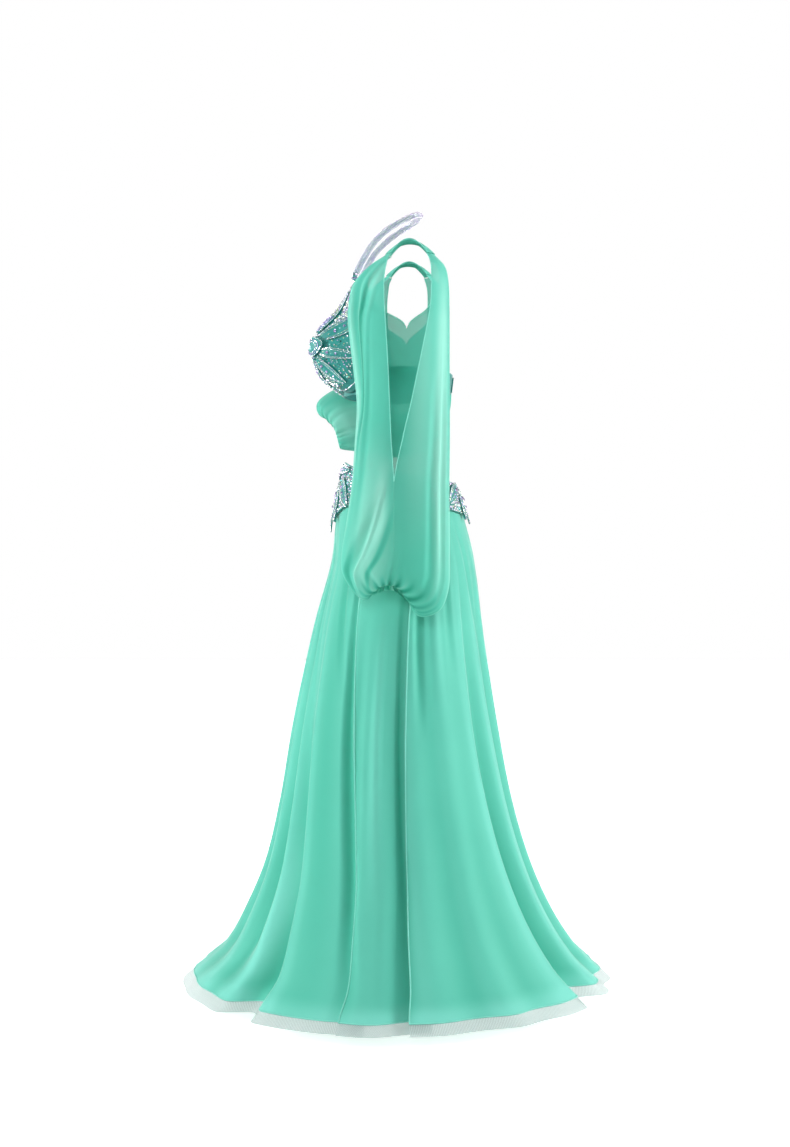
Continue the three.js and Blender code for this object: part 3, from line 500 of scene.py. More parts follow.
def thick(name, outer, wall, material, slot, replaces, mirrored=False, ring=False, inner=None):
    """A closed wall whose outer face is the grid."""
    rows, columns = outer.shape[:2]
    if inner is None:
        inner = outer - outward(outer, ring) * wall
    n = rows * columns
    faces = [*quads(rows, columns, ring), *quads(rows, columns, ring, n, True)]
    last = columns if ring else columns - 1
    low = (rows - 1) * columns
    for j in range(last):
        k = (j + 1) % columns
        faces += [(j, k, k + n, j + n), (low + k, low + j, low + j + n, low + k + n)]
    if not ring:
        for i in range(rows - 1):
            a, b = i * columns, (i + 1) * columns
            faces += [(a, a + n, b + n, b), (b + last, b + last + n, a + last + n, a + last)]
    both = np.concatenate([outer.reshape(-1, 3), inner.reshape(-1, 3)])
    uv = np.concatenate([cloth_uv(outer).reshape(-1, 2), cloth_uv(inner).reshape(-1, 2)])
    obj = make(name, both, faces, material, slot, replaces, mirrored, uv=uv)
    obj.data.set_sharp_from_angle(angle=math.radians(50))
    return obj


def satin_wall(node, outer, wall, mirrored=False):
    return thick(f"{node}_satin", outer, wall, satin, "satin", node, mirrored)


def flared_cut(grid):
    """Width and length, in metres, of the flat pattern of a panel that widens from top to hem."""
    across = lengths(grid, 1)[:, -1] * 0.001
    long = float(lengths(grid, 0)[-1].mean() * 0.001)
    spread = (across[-1] - across[0]) / long
    radius = across[-1] / spread
    return 2 * radius * math.sin(spread / 2), radius - (radius - long) * math.cos(spread / 2)


def widest_cut(grid):
    """Width and length, in metres, of the flat pattern of a piece at its widest and longest."""
    runs = lengths(grid, 1)[:, -1], lengths(grid, 0)[-1]
    return tuple(float(run.max() * 0.001) for run in runs)


def across_path(path):
    """Direction of a path at each of its points, and two more directions square to it."""
    along = unit(np.gradient(np.asarray(path, float), axis=0))
    up = [0.0, 0.0, 1.0] if abs(along[:, 2]).mean() < 0.7 else [1.0, 0.0, 0.0]
    a = unit(np.cross(along, up))
    return along, a, np.cross(along, a)


def round_about(turn, a, b):
    """Direction at an angle from a towards b."""
    return np.cos(turn)[..., None] * a + np.sin(turn)[..., None] * b


def tube(path, radius, sides=6):
    """Points and faces of a round cord along a path."""
    _, a, b = across_path(path)
    turn = np.arange(sides) * 2 * np.pi / sides
    points = path[:, None] + radius * round_about(turn, a[:, None], b[:, None])
    return points, quads(len(path), sides, True)


def cords(name, paths, radius, material, mirrored=False):
    """Rolled edges or stitched seams as one mesh."""
    points, faces, count = [], [], 0
    for path in paths:
        p, f = tube(path, radius)
        points.append(p.reshape(-1, 3))
        faces.append(f + count)
        count += len(points[-1])
    points, faces = np.concatenate(points), np.concatenate(faces)
    return make(name, points, faces, material, "chiffon", mirrored=mirrored)


def on_surface(surface, a, b, lift=0.0):
    """Point, outward direction and direction across of a surface at (a, b)."""
    small, least = 0.002, 1e-12
    across = surface(a + small, b) - surface(a - small, b)
    out = unit(np.cross(across, surface(a, b + small) - surface(a, b - small)), least)
    return surface(a, b) + out * np.asarray(lift)[..., None], out, unit(across, least)


def row_on(surface, a, b, lift, width, tint=ANY):
    """A row of stones on a surface, as the function stones takes it."""
    p, out, across = on_surface(surface, a, b, lift)
    return p, out, across, np.broadcast_to(width, len(p)), tint


def stones(name, sets, material, seed, mirrored=False, sides=6):
    """Faceted stones as one mesh. Each set is (points, outward, across, width, range of tints)."""
    at, out, across, width = (np.concatenate([part[i] for part in sets]) for i in range(4))
    rng = np.random.default_rng(seed)
    n, rings = len(at), len(STONE_RINGS)
    tint = np.concatenate([rng.uniform(*part[4], len(part[0])) for part in sets])
    out = unit(out + rng.normal(0, 0.07, (n, 3)))
    side = unit(np.cross(out, across))
    ahead = np.cross(side, out)
    turn = np.arange(sides) * 2 * np.pi / sides + rng.uniform(0, 2 * np.pi, n)[:, None]
    width = width[:, None, None]
    flat = round_about(turn, ahead[:, None], side[:, None])
    points = np.concatenate([
        at[:, None] + reach * width * flat + high * width * out[:, None]
        for reach, high in STONE_RINGS], 1)
    k = np.arange(sides)
    low = (np.arange(rings - 1) * sides)[:, None]
    after = low + (k + 1) % sides
    pattern = np.stack([low + k, after, after + sides, low + k + sides], -1).reshape(-1, 4)
    start = (np.arange(n) * rings * sides)[:, None, None]
    faces = (pattern[None, :, ::-1] + start).reshape(-1, 4).tolist()
    tops = ((rings - 1) * sides + k[::-1])[None] + start[:, 0]
    return make(name, points, faces + tops.tolist(), material, "crystal", mirrored=mirrored,
                smooth=False, tint=np.repeat(tint, rings * sides))


# ---------- Materials ----------
def add_node(tree, kind, inputs=None, **props):
    made = tree.nodes.new(f"ShaderNode{kind}")
    for key, value in props.items():
        setattr(made, key, value)
    for key, value in (inputs or {}).items():
        if isinstance(value, bpy.types.NodeSocket):
            tree.links.new(value, made.inputs[key])
        else:
            made.inputs[key].default_value = value
    return made


def math_node(tree, operation, a, b=0.0, clamp=False):
    made = add_node(tree, "Math", {0: a, 1: b}, operation=operation, use_clamp=clamp)
    return made.outputs[0]


def map_range(tree, value, low, high, to_low=0.0, to_high=1.0):
    return add_node(tree, "MapRange", {
        "Value": value, "From Min": low, "From Max": high,
        "To Min": to_low, "To Max": to_high}).outputs[0]


def mix_colours(tree, share, a, b):
    # Sockets 6 and 7 are the colours of a mix node, and output 2 is the mixed one.
    return add_node(tree, "Mix", {0: share, 6: a, 7: b}, data_type="RGBA").outputs[2]


def mix_shaders(tree, share, a, b):
    return add_node(tree, "MixShader", {0: share, 1: a.outputs[0], 2: b.outputs[0]})


def new_group(name, inputs, outputs):
    """An empty shader group: inputs are (name, kind, default) and outputs (name, kind)."""
    tree = bpy.data.node_groups.new(name, "ShaderNodeTree")
    for label, kind, default in inputs:
        made = tree.interface.new_socket(label, in_out="INPUT", socket_type=f"NodeSocket{kind}")
        made.default_value = default
    for label, kind in outputs:
        tree.interface.new_socket(label, in_out="OUTPUT", socket_type=f"NodeSocket{kind}")
    given, result = (tree.nodes.new(f"NodeGroup{end}") for end in ("Input", "Output"))
    return tree, given.outputs, result.inputs


def use_group(tree, group, **inputs):
    return add_node(tree, "Group", inputs, node_tree=group)


def fine_weave():
    """Crossed threads along the cloth's own directions, as a normal and a mask of the threads."""
    tree, given, result = new_group(
        "fine_weave",
        [("Threads", "Float", 1400), ("Slant", "Float", 0), ("Depth", "Float", 0.2)],
        [("Normal", "Vector"), ("Threads", "Float")])
    place = add_node(tree, "UVMap", uv_map="cloth")
    turned = add_node(
        tree, "VectorRotate",
        {"Vector": place.outputs[0], "Angle": given["Slant"]}, rotation_type="Z_AXIS")
    parts = add_node(tree, "SeparateXYZ", {"Vector": turned.outputs[0]})
    waves = []
    for axis in ("X", "Y"):
        phase = math_node(tree, "MULTIPLY", parts.outputs[axis], given["Threads"])
        waves.append(math_node(tree, "SINE", math_node(tree, "MULTIPLY", phase, 2 * math.pi)))
    high = math_node(tree, "MAXIMUM", *waves)
    bumped = add_node(tree, "Bump", {
        "Strength": given["Depth"], "Distance": 0.0002, "Height": high})
    tree.links.new(bumped.outputs["Normal"], result["Normal"])
    tree.links.new(high, result["Threads"])
    return tree


def uneven_dye():
    """Slow changes of a colour over the cloth."""
    tree, given, result = new_group(
        "uneven_dye",
        [("Colour", "Color", (0.2, 0.6, 0.5, 1)), ("Deeper", "Color", (0.1, 0.5, 0.4, 1)),
         ("Scale", "Float", 7)],
        [("Colour", "Color")])
    place = add_node(tree, "TexCoord")
    noise = add_node(tree, "TexNoise", {
        "Vector": place.outputs["Object"], "Scale": given["Scale"], "Detail": 3.0})
    share = map_range(tree, noise.outputs["Fac"], 0.35, 0.75)
    blend = mix_colours(tree, share, given["Colour"], given["Deeper"])
    tree.links.new(blend, result["Colour"])
    return tree


def painted_fold_light():
    """Painted shade inside folds and painted highlight on ridges and open cloth, from the cloth's
    fold mask.
    """
    tree, given, result = new_group(
        "painted_fold_light",
        [("Colour", "Color", (0.2, 0.6, 0.5, 1)), ("Folded", "Color", (0.05, 0.4, 0.3, 1)),
         ("Opened", "Color", (0.4, 0.8, 0.7, 1))],
        [("Colour", "Color")])
    # The fold mask: above 0 it mixes in painted shade, below 0 painted highlight.
    fold = add_node(tree, "Attribute", attribute_name="fold").outputs["Fac"]
    shade_share = math_node(tree, "MAXIMUM", fold, 0.0, clamp=True)
    painted_highlight = math_node(tree, "MULTIPLY", fold, -1.0, clamp=True)
    dark = mix_colours(tree, shade_share, given["Colour"], given["Folded"])
    pale = mix_colours(tree, painted_highlight, dark, given["Opened"])
    tree.links.new(pale, result["Colour"])
    return tree


WEAVE, DYE, PAINTED_LIGHT = fine_weave(), uneven_dye(), painted_fold_light()


def new_material(name):
    made = bpy.data.materials.new(name)
    made.use_nodes = True
    made.node_tree.nodes.clear()
    return made, made.node_tree


def end_cloth(tree, face, glow, glow_share, open_share):
    """Part of the light glows through the cloth's face, and part passes between the threads."""
    body = mix_shaders(tree, glow_share, face, glow)
    clear = add_node(tree, "BsdfTransparent", {"Color": (1, 1, 1, 1)})
    whole = mix_shaders(tree, open_share, body, clear)
    add_node(tree, "OutputMaterial", {"Surface": whole.outputs[0]})


def chiffon_material(name, colour, deeper, shade_colour, painted_highlight, through, glow_share, open_share,
                     inside_shade_share=0.0):
    """Thin cloth that lets light and some of what is behind it through."""
    made, tree = new_material(name)
    weave = use_group(tree, WEAVE, Threads=1500.0, Depth=0.12)
    dye = use_group(tree, DYE, Colour=colour, Deeper=deeper, Scale=6.0)
    # The cloth's colour takes painted shade and painted highlight from its fold mask.
    painted_light = use_group(tree, PAINTED_LIGHT, Colour=dye.outputs[0], Folded=shade_colour, Opened=painted_highlight)
    # Faces seen from behind, such as a sleeve's inside, mix towards the shade colour: painted
    # shade.
    side = add_node(tree, "NewGeometry")
    inside = math_node(tree, "MULTIPLY", side.outputs["Backfacing"], inside_shade_share)
    face = add_node(tree, "BsdfPrincipled", {
        "Base Color": mix_colours(tree, inside, painted_light.outputs[0], shade_colour), "Roughness": 0.62,
        "Specular IOR Level": 0.25, "Sheen Weight": 0.7, "Sheen Roughness": 0.35,
        "Sheen Tint": (0.72, 1.0, 0.93, 1), "Normal": weave.outputs["Normal"]})
    glow = add_node(tree, "BsdfTranslucent", {
        "Color": through, "Normal": weave.outputs["Normal"]})
    facing = add_node(tree, "LayerWeight", {"Blend": 0.35})
    gaps = map_range(tree, facing.outputs["Facing"], 0.0, 0.9, open_share, 0.0)
    end_cloth(tree, face, glow, glow_share, gaps)
    return made


def satin_material():
    made, tree = new_material("teal_satin")
    weave = use_group(tree, WEAVE, Threads=2200.0, Depth=0.15)
    dye = use_group(
        tree, DYE, Colour=(0.025, 0.27, 0.24, 1), Deeper=(0.014, 0.19, 0.17, 1), Scale=18.0)
    face = add_node(tree, "BsdfPrincipled", {
        "Base Color": dye.outputs[0], "Roughness": 0.42, "Specular IOR Level": 0.3,
        "Anisotropic": 0.5, "Sheen Weight": 0.2, "Sheen Roughness": 0.3,
        "Normal": weave.outputs["Normal"]})
    add_node(tree, "OutputMaterial", {"Surface": face.outputs[0]})
    return made


def net_material():
    """Stiff open net of fine slanted threads."""
    made, tree = new_material("hem_net")
    weave = use_group(tree, WEAVE, Threads=520.0, Slant=math.radians(45), Depth=0.4)
    face = add_node(tree, "BsdfPrincipled", {
        "Base Color": (0.62, 0.72, 0.71, 1), "Roughness": 0.3, "Specular IOR Level": 0.6,
        "Normal": weave.outputs["Normal"]})
    glow = add_node(tree, "BsdfTranslucent", {"Color": (0.55, 0.68, 0.65, 1)})
    gaps = map_range(tree, weave.outputs["Threads"], 0.0, 0.5, 0.55, 0.1)
    end_cloth(tree, face, glow, 0.4, gaps)
    return made


def crystal_material(name, stops, metallic):
    """Cut stones with a rainbow coating: each stone takes its own colour, and a dark colour among
    the stops is a painted dark reflection.
    """
    made, tree = new_material(name)
    tint = add_node(tree, "Attribute", attribute_name="tint")
    colours = add_node(tree, "ValToRGB", {"Fac": tint.outputs["Fac"]})
    colours.color_ramp.interpolation = "CONSTANT"
    elements = colours.color_ramp.elements
    while len(elements) < len(stops):
        elements.new(0.5)
    for element, (place, colour) in zip(elements, stops):
        element.position, element.color = place, (*colour, 1)
    face = add_node(tree, "BsdfPrincipled", {
        "Base Color": colours.outputs["Color"], "Metallic": metallic, "Roughness": 0.1,
        "Specular IOR Level": 0.9, "Coat Weight": 0.6, "Coat Roughness": 0.03})
    add_node(tree, "OutputMaterial", {"Surface": face.outputs[0]})
    return made


# Colours of the cloth: on its face, deeper in patches, painted shade for folds, painted highlight
# for open cloth, and lit from behind.
MINT, DEEP_MINT, LIT_MINT = (0.135, 0.66, 0.52, 1), (0.115, 0.61, 0.475, 1), (0.17, 0.8, 0.64, 1)
SHADE_MINT, HIGHLIGHT_MINT = (0.026, 0.34, 0.24, 1), (0.41, 0.9, 0.77, 1)
# The skirt takes a darker copy of the sleeves' mint: painted shade offsetting the extra light on
# its upturned flare.
SKIRT_SHADED_MINT, SKIRT_SHADED_DEEP = (0.112, 0.56, 0.43, 1), (0.098, 0.52, 0.4, 1)
SKIRT_SHADE, SKIRT_HIGHLIGHT = (0.045, 0.42, 0.3, 1), (0.19, 0.68, 0.56, 1)
# Rolled edges get a paler mint than the cloth: a painted highlight along them.
EDGE_HIGHLIGHT_MINT, EDGE_HIGHLIGHT_DEEP, EDGE_HIGHLIGHT_LIT = (0.26, 0.78, 0.66, 1), (0.22, 0.74, 0.62, 1), (0.3, 0.85, 0.72, 1)
chiffon = chiffon_material(
    "layered_chiffon", SKIRT_SHADED_MINT, SKIRT_SHADED_DEEP, SKIRT_SHADE, SKIRT_HIGHLIGHT, LIT_MINT, 0.1, 0.0)
# The single layer's faces seen from behind take painted shade.
sheer = chiffon_material(
    "single_chiffon", MINT, DEEP_MINT, SHADE_MINT, HIGHLIGHT_MINT, LIT_MINT, 0.36, 0.15, 0.75)
edge_highlight_chiffon = chiffon_material(
    "highlit_rolled_chiffon", EDGE_HIGHLIGHT_MINT, EDGE_HIGHLIGHT_DEEP, SHADE_MINT, HIGHLIGHT_MINT, EDGE_HIGHLIGHT_LIT, 0.2, 0.0)
satin = satin_material()
net = net_material()
# Tints of the stones, each from its place in the range up to the next one's; the last, dark one is
# a painted dark reflection.
RAINBOW_AND_DARK_GLINT = [(0.0, (0.93, 0.95, 0.97)), (0.3, (0.66, 0.56, 0.9)), (0.48, (0.88, 0.92, 0.7)),
           (0.62, (0.42, 0.8, 0.78)), (0.76, (0.88, 0.7, 0.92)), (0.88, (0.2, 0.27, 0.3))]
PEARLY = [(0.0, (0.93, 0.91, 0.97)), (0.3, (0.8, 0.68, 0.97))]
crystal = crystal_material("coated_crystal", RAINBOW_AND_DARK_GLINT, 0.8)
pearly = crystal_material("pearly_crystal", PEARLY, 0.35)


# ---------- Skirt ----------
def panel(name, start, end, out, columns):
    """A skirt panel with its hem net, between two edges given in degrees at each height."""
    v, u = shares(199, columns)
    z = mix(PANEL_TOP, CLOTH_HEM, v)
    kick = HEM_KICK * ramp(z, CLOTH_HEM + HEM_KICK_HEIGHT, CLOTH_HEM) ** 2
    turn = mix(start(z), end(z), u)
    grid = skirt_point(turn, z, out(u, z) - CHIFFON / 2 + kick)
    # The fold mask carries the skirt's painted shade and painted highlight.
    piece = cloth(f"skirt_{name}_cloth", grid, chiffon, "chiffon", f"skirt_{name}",
                  fold=skirt_painted_light(turn, z))
    v, u = shares(8, columns)
    z = mix(CLOTH_HEM + NET_TUCK, BRAID_HEM, v)
    flare = BRAID_FLARE * ((CLOTH_HEM - z) / (CLOTH_HEM - BRAID_HEM)).clip(0, 1) ** 1.6
    net_grid = skirt_point(mix(start(z), end(z), u), z, out(u, z) - CHIFFON / 2 + flare + NET_LIFT)
    hem = cloth(f"hem_net_{name}", net_grid, net, "braid", f"hem_braid_{name}")
    edges = [grid[-1], grid[:, 0], grid[:, -1]]
    rolled = cords(f"skirt_{name}_edges", edges, SKIRT_EDGE, edge_highlight_chiffon)
    flared_cut(grid)
    widest_cut(net_grid)


def skirt():
    """Four panels: each side one laps over the front and tucks under the back."""
    def edge(name):
        return lambda z: read(EDGES, "z", z, name)

    front, side, back = edge("front"), edge("side"), edge("back")

    def tucked(z):
        return back(z) + SIDE_TUCK

    def lap(z):
        return mix(LAP_TOP, LAP_LOW, ramp(-z, *LAP_GROWS))

    def tuck_depth(z):
        return lap(z) + HEM_TUCK * ramp(-z, TUCK_FROM, -CLOTH_HEM)

    def lapped(u, z):
        return mix(lap(z), -tuck_depth(z), ramp(u, *LAP_SLOPE))

    def flat(u, z):
        return 0 * z

    panel("front", lambda z: -front(z), front, flat, 230)
    panel("side_left", side, tucked, lapped, 44)
    panel("side_right", lambda z: 360 - tucked(z), lambda z: 360 - side(z),
          lambda u, z: lapped(1 - u, z), 44)
    panel("back", back, lambda z: 360 - back(z), flat, 240)


# ---------- Appliques ----------
def leaf_rows(rows, turn=0, share=1):
    """Leaves as (base, tip, width), moved round to an angle."""
    return [((turn + a * share, b), (turn + c * share, d), width) for a, b, c, d, width in rows]


def from_base(point, base, scale):
    """A place on a surface, in mm from a base."""
    return np.array([(point[0] - base[0]) / scale[0], (point[1] - base[1]) / scale[1]])


def leaf_half(v, width):
    return np.maximum(width / 2 * np.sin(np.pi * (0.1 + 0.88 * v) ** 0.85) ** 0.8, 1)


def leaf_at(base, tip, width, scale):
    """Place on the surface of (v, u): v from base to tip and u across."""
    along = from_base(tip, base, scale)
    side = np.array([along[1], -along[0]]) / np.hypot(*along)

    def at(v, u):
        off = (2 * u - 1) * leaf_half(v, width)
        return tuple(base[i] + (along[i] * v + side[i] * off) * scale[i] for i in (0, 1))

    return at


def crown(v, u):
    return APPLIQUE_CROWN * (1 - (2 * u - 1) ** 2) * (1 - (2 * v - 1) ** 2)


def underside(layer):
    """Height of an applique's underside over the cloth. Layer 1 lies over the leaves."""
    return APPLIQUE_SEAT + layer * (APPLIQUE + APPLIQUE_CROWN + SEAM)


def applique(node, surface, at, rows, columns, layer, mirrored=False):
    v, u = shares(rows, columns)
    low = underside(layer)
    outer = on_surface(surface, *at(v, u), low + APPLIQUE + crown(v, u))[0]
    inner = on_surface(surface, *at(v, u), low)[0]
    if np.einsum("...i,...i", outward(outer), outer - inner).mean() < 0:
        outer, inner = outer[:, ::-1], inner[:, ::-1]
    thick(f"{node}_form", outer, 0, satin, "crystal", node, mirrored, inner=inner)


def spaced(at_line, gap, size=400):
    """Evenly spaced shares along a line given as a function of its share."""
    t = np.linspace(0, 1, size)
    run = lengths(at_line(t)[:, None], 0)[:, 0]
    count = max(int(run[-1] / gap), 1)
    return np.interp(np.linspace(0, run[-1], count + 1), run, t)


def leaf_stones(surface, at, width, full):
    """Beads round a leaf in two rows with large stones down its middle, or stones all over it."""
    low = underside(0) + APPLIQUE - STONE_SINK
    sets = []

    def row(v, u, size, tint):
        if len(v):
            sets.append(row_on(surface, *at(v, u), low + crown(v, u), size, tint))

    def along(lane, gap):
        v = spaced(lambda v: surface(*at(v, lane + 0 * v)), gap)
        return v[(v > 0.02) & (v < 0.985)]

    for lane in EDGE_LANES:
        v = along(lane, 2.55)
        row(v, lane + 0 * v, 2.4, SILVER)
    if full:
        for v in along(0.5, 2.7):
            count = max(int(2 * leaf_half(v, width) * 0.8 / 2.5), 1)
            u = 0.5 + 0.8 * (np.arange(count) - (count - 1) / 2) / count
            row(v + 0 * u, u, 2.45, LILAC if v < 0.34 else STRAW if v < 0.62 else SILVER)
        return sets
    for lane in INNER_LANES:
        v = along(lane, 2.3)
        v = v[leaf_half(v, width) * STONE_ROOM > 2.6]
        row(v, lane + 0 * v, 1.9, STRAW if width > 23 else SILVER)
    v, size = np.array(MIDDLE_STONES).T
    row(v, 0.5 + 0 * v, np.minimum(size, leaf_half(v, width) * STONE_ROOM), LILAC)
    v = np.array(SMALL_STONES)
    row(v, 0.5 + 0 * v, 2.3, AQUA)
    return sets


def leaves_on(label, surface, leaves, scale, mirrored=False, full=()):
    """Raised leaves on a surface, and the stones that cover them."""
    sets = []
    for i, (base, tip, width) in enumerate(leaves):
        at = leaf_at(base, tip, width, scale)
        applique(f"{label}_{i + 1}", surface, at, 24, 10, 0, mirrored)
        sets += leaf_stones(surface, at, width, i in full)
    return sets


def disc(v, u):
    """Place inside a circle for a place on a square."""
    x, y = 2 * u - 1, 1 - 2 * v
    return x * np.sqrt(1 - y * y / 2), y * np.sqrt(1 - x * x / 2)


def boss_on(node, surface, centre, radius, scale, cells, layer, mirrored=False):
    """A raised round boss on a surface, and the rings of stones that cover it."""
    def round_at(x, y):
        return centre[0] + x * radius * scale[0], centre[1] + y * radius * scale[1]

    applique(node, surface, lambda v, u: round_at(*disc(v, u)), cells, cells, layer, mirrored)
    low = underside(layer) + APPLIQUE - STONE_SINK
    sets = []
    for share, size, tint in BOSS_RINGS:
        count = max(int(2 * np.pi * radius * share / (size * 1.1)), 1)
        turn = np.arange(count) * 2 * np.pi / count
        a, b = round_at(np.cos(turn) * share, np.sin(turn) * share)
        sets.append(row_on(surface, a, b, low + APPLIQUE_CROWN * (1 - share**2), size, tint))
    return sets


def scattered(rng, a, b, shake_a, shake_b):
    """Points of a grid, each moved a little at random."""
    a, b = (part.ravel() for part in np.meshgrid(a, b, indexing="ij"))
    a = a + rng.uniform(-1, 1, a.size) * shake_a
    return a, b + rng.uniform(-1, 1, b.size) * shake_b


def ground_stones(surface, a, b, leaves, bosses, scale, size, seed, tint=ANY):
    """Loose stones on the ground between the leaves and bosses."""
    room = size * 0.6
    keep = np.ones(len(a), bool)
    for base, tip, width in leaves:
        along = from_base(tip, base, scale)
        long = np.hypot(*along)
        x, y = from_base((a, b), base, scale)
        v = (x * along[0] + y * along[1]) / long**2
        off = np.abs(x * along[1] - y * along[0]) / long
        on_it = (v > -0.03) & (v < 1.03) & (off < leaf_half(v.clip(0, 1), width) + room)
        keep &= ~on_it
    for centre, radius in bosses:
        keep &= np.hypot(*from_base((a, b), centre, scale)) > radius + room
    a, b = a[keep], b[keep]
    size = size * np.random.default_rng(seed).uniform(0.7, 1.25, len(a))
    return [row_on(surface, a, b, 0.1, size, tint)]


# ---------- Bra ----------
def bra():
    scale = (1 / CUP_REACH["outward"], 1 / CUP_REACH["up"])
    leaves = leaf_rows(CUP_LEAVES)
    centre, radius = CUP_BOSS[:2], CUP_BOSS[2]
    cup_grid = cup_point(*disc(*shares(64, 64)))
    for side, mirrored in SIDES:
        satin_wall(f"cup_{side}", cup_grid, CUP_WALL, mirrored)
        sets = leaves_on(f"cup_leaf_{side}", cup_point, leaves, scale, mirrored, full=(0,))
        sets += boss_on(f"cup_boss_{side}", cup_point, centre, radius, scale, 14, 1, mirrored)
        rng = np.random.default_rng(11)
        for low, high, gap_a, gap_b, tint in CUP_GROUND:
            a, b = scattered(rng, np.arange(-0.94, 0.95, gap_a), np.arange(low, high, gap_b),
                             0.34 * gap_a, 0.34 * gap_b)
            inside = np.hypot(a, b) < 0.9
            sets += ground_stones(
                cup_point, a[inside], b[inside], leaves, [(centre, radius)], scale, 3.0, 12, tint)
        t = spaced(lambda t: cup_point(*cup_rim(t)), 3.2)[:-1]
        sets.append(row_on(cup_point, *cup_rim(t), 0, 2.9))
        stones(f"cup_{side}_stones", sets, crystal, 3, mirrored)

        v, u = shares(8, 119)
        turn = mix(*BAND_ENDS, u)
        z = mix(read(BAND, "turn", turn, "high"), read(BAND, "turn", turn, "low"), v)
        ruche = 0.7 * np.sin(8 * np.pi * v) * bump(2 * v - 1) ** 0.5
        band_grid = ring_point(RIBS, turn, z, SATIN + ruche)
        band = satin_wall(f"band_{side}", band_grid, SATIN, mirrored)
        widest_cut(band_grid)
    v, u = shares(16, 12)
    gore = ring_point(RIBS, mix(-GORE_TURN, GORE_TURN, u), mix(GORE_TOP, GORE_FOOT, v),
                      SATIN + SEAM + GORE_WALL)
    satin_wall("gore", gore, GORE_WALL)
    v, u = shares(8, 12)
    hook = ring_point(RIBS, mix(180 - HOOK_TURN, 180 + HOOK_TURN, u), mix(HOOK_TOP, HOOK_FOOT, v),
                      2 * SATIN + SEAM)
    satin_wall("back_hook", hook, SATIN)


def halter():
    """A round rope covered with beads, and a stone-covered link to each cup."""
    both = np.concatenate([ROPE_ROUTE, ROPE_ROUTE[-2::-1] * [-1, 1, 1]])
    rows = table("i x y z", [[i, *point] for i, point in enumerate(both)])

    def path(t):
        return stacked(*(read(rows, "i", t * rows["i"][-1], name) for name in "xyz"))

    centre = path(np.linspace(0, 1, 160))
    points, faces = tube(centre, ROPE_CORE, 12)
    core = make("halter_rope_core", points, faces, satin, "crystal", "halter_rope")
    t = spaced(path, ROPE_GAP)
    line = path(t)
    along, a, b = across_path(line)
    sets = []
    for k in range(ROPE_LANES):
        out = round_about(2 * np.pi * (k + 0.5 * (np.arange(len(t)) % 2)) / ROPE_LANES, a, b)
        sets.append((line + out * ROPE_CORE, out, along, np.full(len(t), ROPE_BEAD), PEARLS))
    beads = stones("halter_rope_stones", sets, pearly, 21)
    centre = centre * 0.001
    float(lengths(centre[:, None], 0)[-1, 0])

    def on_link(v, turn):
        """Direction from a link's middle: v runs from its top to its foot."""
        s = np.sin(np.pi * v)
        return stacked(s * np.sin(turn), -s * np.cos(turn), np.cos(np.pi * v))

    v, turn = np.meshgrid(
        np.linspace(0.02, 0.98, 14), np.linspace(0, 2 * np.pi, 25)[:-1], indexing="ij")
    form = on_link(v, turn) * LINK_HALF + LINK_CENTRE
    for side, mirrored in SIDES:
        make(f"halter_link_{side}_core", form, quads(14, 24, True), satin, "crystal",
             f"halter_link_{side}", mirrored)
        sets = []
        for down, count, size in LINK_RINGS:
            out = on_link(down, np.arange(count) * 2 * np.pi / count + down * 3)
            across = np.cross(out, [0.3, 0, 1.0])
            sets.append((out * LINK_HALF + LINK_CENTRE, out, across, np.full(count, size), ANY))
        stones(f"halter_link_{side}_stones", sets, crystal, 22, mirrored)


# ---------- Belt ----------
def belt():
    scale = (math.degrees(1 / HIP_RADIUS), 1)
    bosses = [((turn + a, b), radius) for turn in (0, 360) for a, b, radius in BELT_BOSSES]
    for name, middle, rows, seed in (
            ("front", 0, FRONT_LEAVES, 31), ("back", 180, BACK_LEAVES, 41)):
        start, end = BELT_ENDS[name]
        v, u = shares(24, 180)
        turn = mix(start, end, u)
        satin_wall(f"belt_{name}", belt_point(turn, belt_height(turn, v)), SATIN)
        leaves = leaf_rows(rows, middle, scale[0])
        sets = leaves_on(f"belt_{name}_leaf", belt_point, leaves, scale)
        rng = np.random.default_rng(seed)
        turn, share = scattered(rng, np.arange(start + 1.2, end - 1.0, 1.9),
                                np.linspace(0.09, 0.91, 15), 0.6, 0.018)
        sets += ground_stones(
            belt_point, turn, belt_height(turn, share), leaves, bosses, scale, 3.2, seed + 1)
        for share in (0.035, 0.965):
            def line(t, share=share):
                turn = mix(start + 0.6, end - 0.6, t)
                return turn, belt_height(turn, share)

            t = spaced(lambda t: belt_point(*line(t)), 3.3)
            sets.append(row_on(belt_point, *line(t), 0.05, 3.0))
        stones(f"belt_{name}_stones", sets, crystal, seed + 2)
    sets = []
    for i, (a, b, radius) in enumerate(BELT_BOSSES):
        sets += boss_on(f"belt_boss_{i + 1}", belt_point, (a, b), radius, scale, 12, 0)
    stones("belt_boss_stones", sets, crystal, 61)


